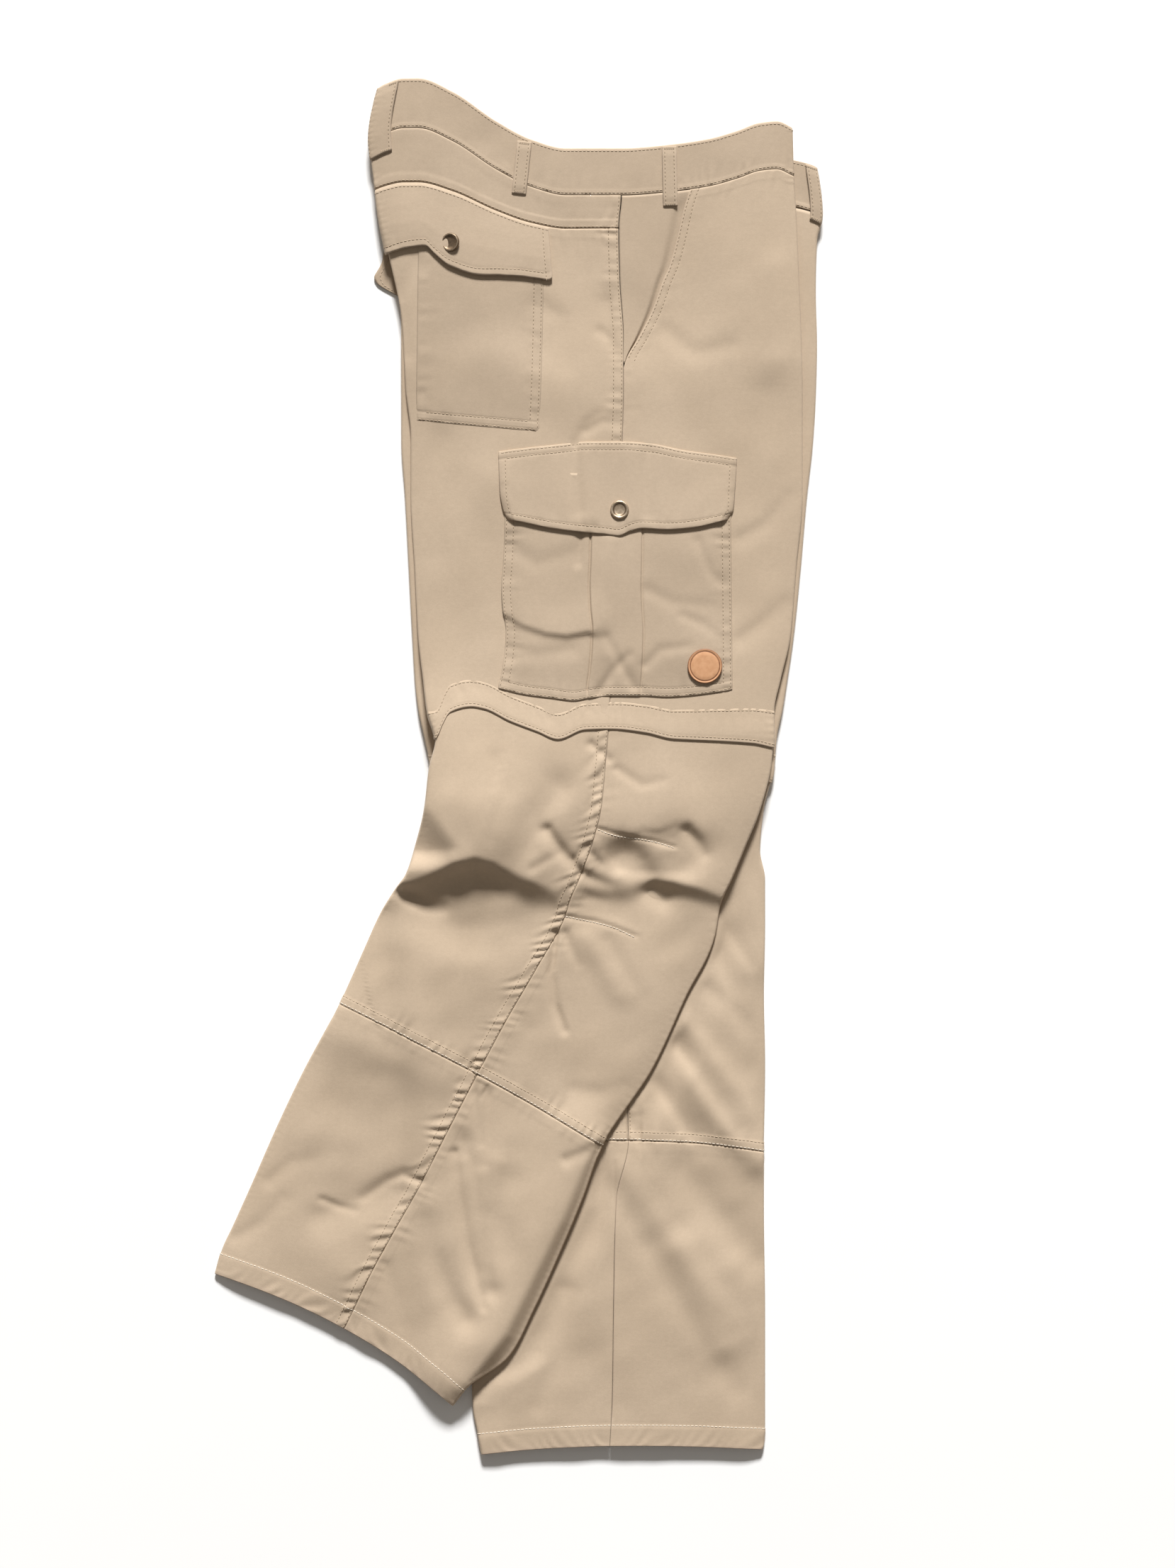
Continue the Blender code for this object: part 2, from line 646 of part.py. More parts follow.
# Cargo pocket with a box pleat
CARGO_LEFT = ((611, 231), (621, 231), (634, 233.5), (651, 236), (668, 237), (685, 234.6),
              (703, 233.5), (726, 235), (754, 236), (795, 237))
CARGO_RIGHT = ((611, 420), (621, 420), (754, 419), (795, 418))
CARGO_BOTTOM = ((231, 621), (252, 616), (275, 613), (292, 611), (304, 613), (321, 615),
                (347, 615), (367, 614), (384, 615), (401, 617), (420, 620))
CARGO_TOP = ((231, 796), (420, 792))
PLEAT_LEFT = 0.385
PLEAT_RIGHT = 0.605
across_shares = (0, 0.03, 0.12, 0.22, 0.31, PLEAT_LEFT - 0.012, PLEAT_LEFT, 0.46, 0.535,
                 PLEAT_RIGHT, PLEAT_RIGHT + 0.012, 0.7, 0.8, 0.89, 0.97, 1)
down_shares = (0, 0.12, 0.26, 0.4, 0.53, 0.66, 0.79, 0.9, 0.97, 1)
PUFF = 3.0
PLEAT = 1.6


def cargo_lift(share, down):
    side = ease(min(share, 1 - share) / 0.03)
    low = ease((1 - down) / 0.03)
    mouth = 0.3 + 0.7 * ease((down - 0.1) / 0.3)
    pleat = PLEAT if PLEAT_LEFT <= share <= PLEAT_RIGHT else 0.0
    return SEAM_GAP + (PUFF + pleat) * side * low * mouth


x, y = filled(CARGO_LEFT, CARGO_RIGHT, CARGO_BOTTOM, CARGO_TOP, across_shares, down_shares)
lift = np.array([[float(cargo_lift(a, d)) for a in across_shares] for d in down_shares])
laid("cargo_pocket_right", x, y, lift, ["thigh_back_right", "thigh_front_right"])

# Cargo flap: x at each y for its sides, y at each x for its ends
CARGO_FLAP_LEFT = ((745, 240), (758, 238), (764, 235), (780, 232), (811, 231))
CARGO_FLAP_RIGHT = ((745, 416), (758, 417), (765, 421), (783, 422.5), (806, 424))
CARGO_FLAP_BOTTOM = ((231, 760), (240, 757.5), (252, 755), (275, 750), (298, 747), (315, 745.5), (328, 744),
                     (338, 748), (347, 750), (367, 749), (390, 751), (407, 755), (424, 760))
CARGO_FLAP_TOP = ((231, 811), (258, 815), (283, 818), (306, 820.5), (330, 820.5), (351, 819),
                  (376, 813.6), (402, 809.6), (424, 805.6))
flap_shares = (0, 0.05, 0.17, 0.29, 0.39, 0.46, 0.505, 0.56, 0.62, 0.72, 0.84, 0.95, 1)
flap_down = (0, 0.14, 0.32, 0.55, 0.8, 1)
x, y = filled(CARGO_FLAP_LEFT, CARGO_FLAP_RIGHT, CARGO_FLAP_BOTTOM, CARGO_FLAP_TOP,
              flap_shares, flap_down)
laid("cargo_flap_right", x, y, 2 * SEAM_GAP,
     ["thigh_back_right", "thigh_front_right", "cargo_pocket_right"], FLAP_WALL)

# Left back flap: its inside shows where it hangs out under the back edge
LEFT_FLAP = (
    ((268, 992), (200, 1014), (140, 1010)),
    ((268, 975), (195, 985), (137, 970)),
    ((268, 962), (190, 960), (130, 955)),
    ((268, 952), (190, 945), (132, 950)),
    ((262, 950), (192, 939), (150, 939)),
)
points = np.array(LEFT_FLAP, float)
grid = np.concatenate([points, np.full((*points.shape[:2], 1), WALL)], axis=2)
cloth("back_flap_left", grid, -1)


LOOP_WALL = 1.6


def loop(name, top, bottom, width, under, bow=1.2, wall=LOOP_WALL):
    """A belt loop: a strip sewn down at both ends over the waistband."""
    top = np.array(top, float)
    bottom = np.array(bottom, float)
    down = (bottom - top) / np.linalg.norm(bottom - top)
    side = np.array([-down[1], down[0]])
    shares = (0, 0.12, 0.4, 0.7, 0.9, 1)
    x = np.zeros((len(shares), 3))
    y = np.zeros(x.shape)
    lift = np.zeros(x.shape)
    for i, share in enumerate(shares):
        for j, place in enumerate((-0.5, 0, 0.5)):
            spot = top + (bottom - top) * share + side * place * width
            x[i, j], y[i, j] = spot
            lift[i, j] = SEAM_GAP + bow * ease(min(share, 1 - share) * 6)
    laid(name, x, y, lift, under, wall)


BAND_AREA = ["waistband_right", "yoke_right", "thigh_front_right", "pocket_facing_right"]
LOOP_WIDTH = 11.7
loop("loop_side", (252, 1063.5), (247.5, 1021), LOOP_WIDTH, BAND_AREA)
loop("loop_front", (369, 1059.5), (370, 1011), LOOP_WIDTH, BAND_AREA)
fold_loop = np.array([half_ring(RIGHT, -1, v, 0.925, 0.1, 3, 2)[:5] for v in (1057, 1050, 1038, 1022, 1014, 1009)])
fold_lift = np.array([0.5, 1.8, 2.2, 2.2, 1.4, 0.5])[:, None] + LOOP_WALL
fold_loop = moved_out(fold_loop, np.broadcast_to(fold_lift, fold_loop.shape[:2]), -1)
cloth("loop_back", fold_loop, -1, LOOP_WALL)
fold_loop = np.array([half_ring(LEFT, 1, v, 0.5, 0.075, 2, 3)[4:] for v in (1057, 1048, 1034, 1020, 1012)])
fold_lift = np.array([0.5, 1.8, 2.0, 1.6, 0.6])[:, None] + LOOP_WALL
fold_loop = moved_out(fold_loop, np.broadcast_to(fold_lift, fold_loop.shape[:2]), -1)
cloth("loop_front_left", fold_loop, -1, LOOP_WALL)


def disc(name, x, y, radius, height, under, colour, rough, metal, rounding, tilt_reach):
    """A low round cap or patch that stands on the cloth, square to it."""
    tree = surface([surfaces[key] for key in under])
    ring = []
    for k in range(12):
        angle = math.radians(30 * k)
        px = x + tilt_reach * math.cos(angle)
        py = y + tilt_reach * math.sin(angle)
        ring.append((px, py, level_under(tree, px, py)))
    ring = np.array(ring)
    spread = ring - ring.mean(axis=0)
    slope = np.linalg.lstsq(spread[:, :2], spread[:, 2], rcond=None)[0]
    up = Vector((-slope[0], -slope[1], 1)).normalized()
    turn = Vector((0, 0, 1)).rotation_difference(up)
    lift = 0.0
    centre_z = ring[:, 2].mean()
    for share in np.linspace(0, 1, 7):
        for k in range(24):
            angle = math.radians(15 * k)
            px = x + share * radius * math.cos(angle)
            py = y + share * radius * math.sin(angle)
            plane = centre_z + slope[0] * (px - x) + slope[1] * (py - y)
            lift = max(lift, level_under(tree, px, py) - plane)
    foot = Vector((x - MID_X, y - MID_Y, centre_z + lift + 0.15))
    form = bmesh.new()
    bmesh.ops.create_cone(form, cap_ends=True, segments=20, radius1=radius * MM,
                          radius2=radius * MM, depth=height * MM)
    mesh = bpy.data.meshes.new(name)
    form.to_mesh(mesh)
    form.free()
    made = bpy.data.objects.new(name, mesh)
    made.data.materials.append(material(name, colour, rough, metal))
    made.rotation_mode = "QUATERNION"
    made.rotation_quaternion = turn
    made.location = (foot + up * height / 2) * MM
    garment.objects.link(made)
    edge = made.modifiers.new("Rounded edge", "BEVEL")
    edge.width = rounding * MM
    edge.segments = 2
    edge.limit_method = "ANGLE"
    edge.angle_limit = math.radians(60)


disc("snap_cargo_flap", 328.6, 766.2, 7.5, 2.4, ["cargo_flap_right"], BRASS, 0.35, 1.0, 1.0, 6)
disc("snap_back_flap", 193, 980, 7.5, 2.4, ["back_flap_right"], BRASS, 0.35, 1.0, 1.0, 6)
disc("patch_round", 397.3, 639.4, 14, 1.5, ["cargo_pocket_right"], LEATHER, 0.7, 0.0, 0.4, 11)
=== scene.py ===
"""Looks of the laid convertible trousers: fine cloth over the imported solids, thread and light.

Tables are in millimetres from the lower left corner of the laid garment, as in the part.
"""
import math

import bpy
import numpy as np
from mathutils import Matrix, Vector


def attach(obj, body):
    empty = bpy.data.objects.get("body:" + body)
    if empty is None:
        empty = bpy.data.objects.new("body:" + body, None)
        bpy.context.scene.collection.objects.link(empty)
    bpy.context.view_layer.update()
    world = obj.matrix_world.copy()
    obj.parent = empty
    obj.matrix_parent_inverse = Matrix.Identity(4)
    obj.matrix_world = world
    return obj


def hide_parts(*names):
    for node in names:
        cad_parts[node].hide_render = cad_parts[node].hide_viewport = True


MM = 0.001
MID_X = 248.5  # the frame's origin, in table millimetres
MID_Y = 557.5

# Thickness of the cloth and of the stack
WALL = 1.2
FOLD_RADIUS = 2.2
TUBE = 2 * FOLD_RADIUS
STACK_GAP = 0.9
COVER_ROOM = 1.9
CROWN = 3.0
CROWN_REACH = 32.0
HIP_SINK = 4.5
HIP_FROM_EDGE = (52, 55)  # distance from the outline where the sinking starts, and its run
HIP_FROM = (850, 80)
EDGE_PRESS = 1.75
EDGE_REACH = 7.5
FOLD_POINTS = 7
NEAR_EDGE = 0.98  # share of the half width where the direction of the fold is measured
ZIP_BAND = (540, 632, 60)  # low, high and ramp of the place where the strips stack up
LEFT_ZIP_BAND = (538, 582, 60)
LEFT_ZIP_LIFT = 1.8
LEFT_HIP = (830, 60)

# Heights of the seams on the right leg; the left leg has its own below the hip
WAIST = 1058
BAND_SEAM = 1020
YOKE_SEAM = 993
WAVE_LOW = 823  # the waist waves only above it
SLANT_LOW = 881
ZIP_TOP = 594
ZIP_LOW = 585
CROSS_SEAM = 309
HEM_LINE = 103


def level(*rows):
    """Stations whose two edges lie level with the seam: along, back x, seam x, front x."""
    return tuple((v, back, v, seam, front, v) for v, back, seam, front in rows)


# Right leg, on top: along, back x, back y, seam x, front x, front y
RIGHT_ROWS = (
    *level(
        (1058, 134, 330, 469), (1020, 127, 330, 470), (993, 131, 328, 472), (950, 142, 329, 474),
        (904, 153, 332, 476), (858, 156, 332, 477), (823, 160, 331, 477), (777, 160, 329, 477),
        (720, 163, 327, 472), (662, 166, 324, 467), (628, 170, 323, 459), (604, 173, 321, 454)),
    (582, 180, 581, 320, 453, 574), (560, 175, 559, 318, 451, 556), (524, 171, 524, 314, 442, 521),
    (496, 164, 496, 307, 432, 496), (464, 156, 471, 295, 420, 467), (450, 148, 460, 289, 411, 447),
    (437, 136, 441, 285, 406, 420), (395, 124, 415, 262, 383, 372), (352, 113, 390, 237, 356, 314),
    (309, 102, 366, 214, 315, 251), (263, 73, 312, 190, 299, 208), (218, 51, 266, 167, 281, 165),
    (179, 30, 218, 145, 260, 119), (148, 16, 187, 128, 239, 80), (119, 6, 165, 114, 206, 56),
    (103, 1, 147, 106, 194, 41),
)
# Left leg, beneath: the same columns
LEFT_ROWS = (
    *level(
        (1058, 135, 330, 489), (1020, 127, 330, 493), (993, 133, 329, 489), (950, 144, 330, 488),
        (904, 152, 332, 489), (858, 152, 333, 488), (823, 152, 333, 486), (777, 155, 334, 481),
        (720, 158, 334, 476), (662, 161, 334, 470), (628, 163, 335, 465), (603, 166, 335, 461),
        (585, 170, 335, 457), (556, 176, 335, 454), (524, 180, 335, 446), (490, 184, 335, 443),
        (467, 186, 335, 447), (432, 189, 335, 447), (375, 194, 335, 446), (317, 200, 335, 447)),
    (255, 204, 247, 336, 446, 246), (205, 206, 202, 326, 446, 202), (119, 208, 116, 324, 447, 116),
    (44, 210, 38, 323, 447, 38), (25, 214, 17, 322, 447, 20), (8, 217, 1, 321, 445, 5),
)
# Rise of the waist across the right side and across the left side: x, rise
BACK_WAVE = (
    (127, 45), (140, 52), (154, 56), (166, 56), (194, 45), (229, 22), (258, 7), (286, 0), (330, 0),
)
RIGHT_WAVE = (
    *BACK_WAVE, (370, 3), (401, 7), (424, 13.5), (442, 20), (456, 21.5), (470, 16),
)
LEFT_WAVE = (*BACK_WAVE, (424, 0), (470, -9), (482, -12), (489, -15), (494, -19))
# How much of that rise is left further down: along, share
WAVE_FADE = (
    (823, 0), (858, 0.08), (904, 0.22), (950, 0.42), (993, 0.66), (1020, 0.96), (1058, 1),
)
# Rise of the right zip line across the leg, and how far it is felt: x, rise
ZIP_WAVE = (
    (174, -2), (181, -1), (186, 10), (192, 20), (209, 24), (220, 22), (240, 12), (263, 3),
    (279, -3), (301, 5), (326, 6), (350, 4), (373, 0), (436, 1), (453, -1),
)
ZIP_FADE = (
    (525, 0), (572, 1), (606, 1), (665, 0),
)
# Slant pocket edge of the right front: along, x
SLANT = (
    (881, 332.3), (889, 335), (904, 343.8), (927, 355.5), (950, 364), (961, 369), (984, 375.5),
    (1008, 381.5), (1020, 386),
)
# How far the hidden half of each panel runs back from its fold: along, front, back
REACH = (
    (0, 1, 1), (805, 1, 1), (815, 0.93, 0.94), (832, 0.72, 0.72), (850, 0.52, 0.48),
    (870, 0.4, 0.3), (900, 0.32, 0.16), (1058, 0.32, 0.16),
)
# Folds: height at the start and the end, width on the left and the right, then places
RIGHT_FOLDS = (
    (15, 5.5, 40, 8, (156, 467), (171, 472), (195, 483), (212, 488), (229, 483), (253, 470),
     (273, 462)),
    (3, 3, 26, 20, (200, 530), (229, 522), (255, 513)),
    (-5, -2, 18, 6, (158, 492), (174, 491), (190, 494)),
    (2.5, 2, 20, 30, (146, 412), (206, 397), (252, 405), (286, 424)),
    (-2.5, -1.5, 9, 14, (178, 435), (200, 425), (224, 424), (249, 432), (284, 446)),
    (0.8, 0.8, 8, 9, (351, 494), (367, 485), (381, 474), (393, 464)),
    (7.2, 4.8, 50, 5.5, (356, 469), (373, 467), (393, 462), (412, 455)),
    (-3.5, -4, 9, 7, (328, 484), (338, 471), (351, 458), (364, 452)),
    (-1.6, -1.8, 9, 22, (315, 450), (329, 446), (351, 444)),
    (7, 7.5, 6, 24, (306, 254), (281, 193), (258, 147), (235, 101), (205, 62)),
    (0.9, 0.9, 22, 22, (229, 902), (186, 856)), (1.5, 1.5, 12, 12, (455, 960), (458, 890)),
    (4, 3, 26, 30, (148, 352), (137, 335), (114, 345)), (1.5, 1.5, 26, 26, (137, 237), (108, 168)),
    (-2, -3, 6, 7, (204, 253), (208, 225), (209, 191), (215, 156), (224, 135)),
    (-1.5, -3, 7, 8, (172, 191), (178, 167), (189, 138), (204, 112)),
    (1.5, 1.5, 14, 14, (125, 179), (102, 139)),
    (-2.2, -2, 10, 7, (143, 216), (114, 204), (88, 195)),
)
LEFT_FOLDS = (
    (4, 4, 12, 9, (374, 326), (401, 283), (440, 240)), (-2, -2, 10, 10, (380, 232), (436, 160)),
    (3, 3, 12, 12, (380, 168), (412, 90)), (5.5, 4.5, 8, 26, (286, 208), (255, 145), (223, 70)),
    (2, 2, 12, 12, (405, 480), (440, 400)), (-3, -2.5, 8, 12, (393, 407), (381, 375), (370, 352)),
)
# Finer creases, laid on top of the folds, in the same columns
RIGHT_CREASES = (
    (-5, -2, 4, 5, (148, 458), (160, 455), (172, 448), (185, 445)),
    (1.6, 1.0, 5, 4, (159, 474), (174, 476), (194, 482)),
    (4, 4, 48, 9, (194, 477), (212, 483), (230, 477)),
    (-5, -0.5, 34, 8, (156, 467), (171, 472), (195, 483)),
    (5.5, 6, 60, 9, (164, 538), (181, 520), (200, 496)),
    (5, 4, 34, 26, (177, 582), (223, 568), (275, 556)),
    (3, 2, 30, 14, (74, 356), (120, 337), (171, 314)),
    (-1.5, -1.3, 16, 34, (314, 444), (334, 439), (358, 439)),
    (-3.6, -3, 13, 6, (328, 477), (352, 475), (379, 475)),
    (-2, -1.2, 8, 8, (168, 490), (189, 485)),
    (-4.4, -3, 9, 13, (279, 540), (266, 522), (252, 493), (238, 468)),
    (0.8, 0.6, 6, 6, (259, 467), (267, 493), (274, 504)),
    (-3.6, -2.4, 3, 4, (271, 507), (278, 496), (287, 485), (296, 475)),
    (0.6, 0.4, 5, 5, (282, 519), (293, 496), (302, 480)),
    (-1.1, -0.8, 3, 3, (259, 476), (278, 487)), (-1.5, -1.0, 2, 2.5, (304, 494), (293, 484)),
    (-1.6, -1.2, 2, 2.5, (299, 473), (290, 462)),
    (-1.2, -0.8, 2, 3, (312, 547), (306, 527), (308, 513)),
    (-0.8, -0.6, 5, 5, (229, 565), (236, 536), (224, 501)),
    (-1.2, -1.0, 3, 10, (339, 499), (347, 504), (361, 503), (374, 508), (383, 504)),
    (-3.2, -1.4, 3.5, 4.5, (384, 507), (392, 497), (397, 488)),
    (2.2, 2.0, 30, 7, (340, 506), (358, 509), (383, 511)),
    (-3, -3, 6, 7, (332, 496), (347, 481), (355, 465)),
    (1.0, 0.7, 4, 4, (309, 496), (316, 482), (329, 471)),
    (-1.3, -0.8, 2.4, 3, (305, 488), (314, 480)), (-1.5, -0.8, 2.8, 3.5, (304, 469), (320, 463)),
    (-1.3, -0.7, 3, 5, (304, 453), (315, 450)), (0.4, 0.3, 3.5, 3.5, (305, 476), (328, 469)),
    (0.4, 0.3, 3.5, 3.5, (307, 459), (330, 457)),
    (0.5, 0.4, 4, 4, (361, 490), (373, 492), (379, 486)),
    (-1.0, -1.0, 1.2, 1.2, (311, 508), (321, 505), (338, 501), (355, 498), (373, 493)),
    (-0.9, -0.7, 1.2, 1.2, (285, 437), (295, 435), (309, 433), (324, 428), (342, 421)),
    (0.4, 0.3, 2.5, 2.5, (286, 440), (309, 436), (325, 432), (343, 424)),
    (-1.7, -0.6, 3, 3, (285, 423), (290, 409), (295, 399)),
    (-2.8, -1.6, 1.6, 3.0, (278, 423), (274, 392), (277, 366), (285, 345)),
    (-1.3, -0.6, 5, 6, (320, 417), (332, 395), (347, 374)),
    (1.2, 0.8, 6, 6, (301, 420), (315, 398), (327, 375)),
    (-1.2, -0.6, 6, 6, (240, 363), (252, 346), (246, 330)),
    (-1.2, -0.8, 5, 6, (293, 297), (315, 294), (332, 300)),
    (-1.6, -0.8, 2.5, 2.5, (306, 576), (320, 564)),
    (-1.0, -0.5, 3, 3, (327, 556), (347, 543), (364, 547)),
    (-1.6, -0.8, 2, 4, (209, 317), (213, 283), (217, 254)),
    (-1.8, -1.0, 2, 5, (223, 294), (222, 260), (220, 237)),
    (-2.2, -0.8, 2.5, 3.5, (167, 223), (154, 228), (141, 223), (122, 209)),
    (-1.2, -0.5, 2, 2.5, (88, 208), (102, 202), (115, 199)),
    (-1.5, -0.6, 3, 4, (286, 241), (302, 248), (313, 253)),
    (-1.0, -0.4, 4, 5, (45, 223), (62, 237), (79, 241)),
    (-0.9, -0.5, 4, 5, (19, 177), (40, 190), (56, 208)),
    (-1.0, -0.6, 5, 6, (140, 151), (148, 128), (151, 108)),
    (-2.0, -1.4, 2.2, 3.5, (196, 246), (200, 214), (206, 174), (219, 122)),
    (1.6, 1.2, 4, 7, (203, 237), (210, 191), (220, 145)),
    (1.2, 0.8, 6, 8, (229, 237), (223, 191), (229, 145)),
    (-1.3, -0.9, 9, 9, (237, 225), (229, 197), (236, 168)),
    (-1.0, -0.6, 4, 6, (319, 933), (324, 892), (320, 858)),
    (-0.9, -0.5, 3, 3, (313, 910), (322, 903), (325, 892)),
    (-0.9, -0.5, 2.5, 3, (302, 829), (315, 837), (328, 835)),
    (-0.8, -0.4, 2.5, 3, (293, 819), (301, 835), (315, 846)),
    (-0.9, -0.7, 12, 12, (171, 858), (186, 892), (212, 914), (240, 911), (263, 892)),
    (-1.0, -0.7, 5, 6, (166, 966), (148, 933), (157, 892)),
    (-1.2, -0.8, 9, 12, (183, 823), (171, 777), (180, 731)),
    (1.4, 1.0, 14, 14, (223, 789), (203, 743), (217, 685)),
    (-1.2, -0.8, 9, 12, (447, 858), (436, 789), (444, 720)),
    (-1.0, -0.7, 12, 14, (350, 892), (378, 846), (407, 806)),
    (-1.0, -0.6, 5, 7, (263, 933), (281, 921), (286, 881)),
    (-0.9, -0.6, 5, 6, (367, 910), (390, 892), (419, 898)),
    (-0.9, -0.5, 4, 6, (427, 743), (447, 754), (465, 777)),
    (-0.9, -0.5, 4, 6, (427, 662), (444, 674), (462, 691)),
)
LEFT_CREASES = (
    (-1.6, -1.0, 5, 7, (312, 237), (313, 200), (286, 145), (262, 85)),
    (-0.45, -0.45, 0.8, 0.8, (325, 237), (324, 145), (323, 30)),
    (-1.0, -0.5, 3, 3, (332, 292), (346, 277)),
    (-3.6, -1.6, 8, 5, (362, 349), (393, 312), (424, 266)),
    (2.0, 1.2, 6, 8, (375, 358), (407, 317), (439, 274)),
    (-2.4, -1.4, 6, 4, (344, 323), (364, 294), (387, 260)),
    (-2.0, -1.2, 6, 4, (325, 294), (335, 274), (347, 254)),
    (1.6, 1.2, 9, 8, (332, 234), (378, 168), (430, 99)),
    (-1.1, -0.9, 8, 7, (315, 228), (352, 168), (401, 87), (424, 53)),
    (1.0, 1.0, 12, 8, (361, 225), (407, 168), (442, 116)),
    (-1.6, -1.0, 6, 6, (286, 133), (281, 87), (263, 41)),
    (-1.4, -0.8, 5, 4, (375, 470), (407, 438), (436, 398)),
    (-1.6, -0.8, 7, 5, (401, 421), (419, 384), (430, 346)),
    (-1.2, -0.6, 5, 6, (401, 378), (430, 352)),
    (1.2, 0.8, 6, 6, (347, 283), (358, 317), (373, 352)),
)
SEAM_STEP = 0.9


def curve(table, at, column=1):
    """Smooth line through the stations of a table, with no overshoot."""
    rows = sorted(table)
    key = np.array([row[0] for row in rows], float)
    val = np.array([row[column] for row in rows], float)
    step = np.diff(key)
    slope = np.diff(val) / step
    tangent = np.concatenate(([slope[0]], np.zeros(len(slope) - 1), [slope[-1]]))
    for i in range(1, len(slope)):
        if slope[i - 1] * slope[i] > 0:
            near = 2 * step[i] + step[i - 1]
            far = step[i] + 2 * step[i - 1]
            tangent[i] = (near + far) / (near / slope[i - 1] + far / slope[i])
    at = np.clip(np.asarray(at, float), key[0], key[-1])
    k = np.clip(np.searchsorted(key, at) - 1, 0, len(step) - 1)
    t = (at - key[k]) / step[k]
    rise = (3 - 2 * t) * t * t
    start = val[k] * (1 - rise) + val[k + 1] * rise
    lean = tangent[k] * (1 - t) - tangent[k + 1] * t
    return start + step[k] * t * (1 - t) * lean


def ease(t):
    t = np.clip(t, 0, 1)
    return t * t * (3 - 2 * t)


def plateau(value, low, high, ramp):
    return ease((value - low + ramp) / ramp) * ease((high + ramp - value) / ramp)


def fold_height(fold, x, y):
    """One soft ridge or trough along a bent line, rounded at its ends."""
    first, last, left, right = fold[:4]
    spots = fold[4:]
    nearest = np.full(np.broadcast(x, y).shape, np.inf)
    height = np.zeros(nearest.shape)
    for i in range(len(spots) - 1):
        dx = spots[i + 1][0] - spots[i][0]
        dy = spots[i + 1][1] - spots[i][1]
        px = x - spots[i][0]
        py = y - spots[i][1]
        t = np.clip((px * dx + py * dy) / (dx * dx + dy * dy), 0, 1)
        away = (px - t * dx) ** 2 + (py - t * dy) ** 2
        side = (dx * py - dy * px) / np.sqrt((dx * dx + dy * dy) * (away + 1e-6))
        width = (left + right) / 2 + (left - right) / 2 * np.clip(side, -1, 1)
        share = (i + t) / (len(spots) - 1)
        here = (first + (last - first) * share) * np.exp(-away / (2 * width * width))
        height = np.where(away < nearest, here, height)
        nearest = np.minimum(away, nearest)
    return height


def folds(table, x, y):
    total = np.zeros(np.broadcast(x, y).shape)
    for fold in table:
        total = total + fold_height(fold, x, y)
    return total


def across(rows, wave, zip_wave, u, v):
    """Place on a leg: u is -1 at the back fold, 0 at the side seam, 1 at the front fold."""
    u, v = np.broadcast_arrays(np.asarray(u, float), np.asarray(v, float))
    back = (curve(rows, v, 1), curve(rows, v, 2))
    seam = (curve(rows, v, 3), v)
    front = (curve(rows, v, 4), curve(rows, v, 5))
    place = []
    for b, s, f in zip(back, seam, front):
        place.append(s + (f - b) / 2 * u + (f + b - 2 * s) / 2 * u * u)
    x, y = place
    y = y + curve(wave, x) * curve(WAVE_FADE, v) * (v > WAVE_LOW)
    if zip_wave:
        y = y + curve(ZIP_WAVE, x) * curve(ZIP_FADE, v)
    return x, y


def right_plan(u, v):
    return across(RIGHT_ROWS, RIGHT_WAVE, True, u, v)


def left_plan(u, v):
    return across(LEFT_ROWS, LEFT_WAVE, False, u, v)


def left_back_edge(y):
    return curve([(row[2], row[1]) for row in LEFT_ROWS], y)


def left_front_edge(y):
    return curve([(row[5], row[4]) for row in LEFT_ROWS], y)


def right_front_edge(y):
    return curve([(row[5], row[4]) for row in RIGHT_ROWS], y)


EDGE_ALONG = np.linspace(HEM_LINE, WAIST, 240)
EDGE_X = np.concatenate([right_plan(-1, EDGE_ALONG)[0], right_plan(1, EDGE_ALONG)[0]])
EDGE_Y = np.concatenate([right_plan(-1, EDGE_ALONG)[1], right_plan(1, EDGE_ALONG)[1]])


def nearest_to(x, y, line_x, line_y, slice_size=8000):
    """Distance from a line given by close points, worked out in slices to save memory."""
    x, y = np.broadcast_arrays(np.asarray(x, float), np.asarray(y, float))
    flat_x, flat_y = x.ravel(), y.ravel()
    best = np.empty(flat_x.shape)
    for i in range(0, len(flat_x), slice_size):
        part = slice(i, i + slice_size)
        away = (flat_x[part, None] - line_x) ** 2 + (flat_y[part, None] - line_y) ** 2
        best[part] = away.min(axis=1)
    return np.sqrt(best).reshape(x.shape)


def left_bottom(x, y):
    """Resting side of the left leg, lifted by the strip of its zip and by the seams of the hip."""
    start, run = LEFT_HIP
    lift = LEFT_ZIP_LIFT * (plateau(y, *LEFT_ZIP_BAND) + ease((y - start) / run))
    return lift + 0 * x


def left_top(x, y):
    """Upper face of the left leg: flat beneath the right leg, creased where it shows."""
    past = x - right_front_edge(y)
    inside = left_front_edge(y) - x
    rim = 1 - np.exp(-np.maximum(inside, 0) / 24)
    fine = (folds(LEFT_CREASES, x, y) + slack(x + 400, y)) * ease((past - 2) / 8)
    fine = fine * ease(inside / 12)
    soft = CROWN * rim + folds(LEFT_FOLDS, x, y)
    return left_bottom(x, y) + TUBE + ease((past - 10) / 30) * soft + fine


def right_bottom(x, y):
    """Underside of the right leg: on the left leg where that is beneath it, else on the surface."""
    on_left = ease((x - left_back_edge(y) + 56) / 28)
    level = left_bottom(x, y) + TUBE + STACK_GAP + COVER_ROOM * plateau(y, *ZIP_BAND)
    return level * on_left


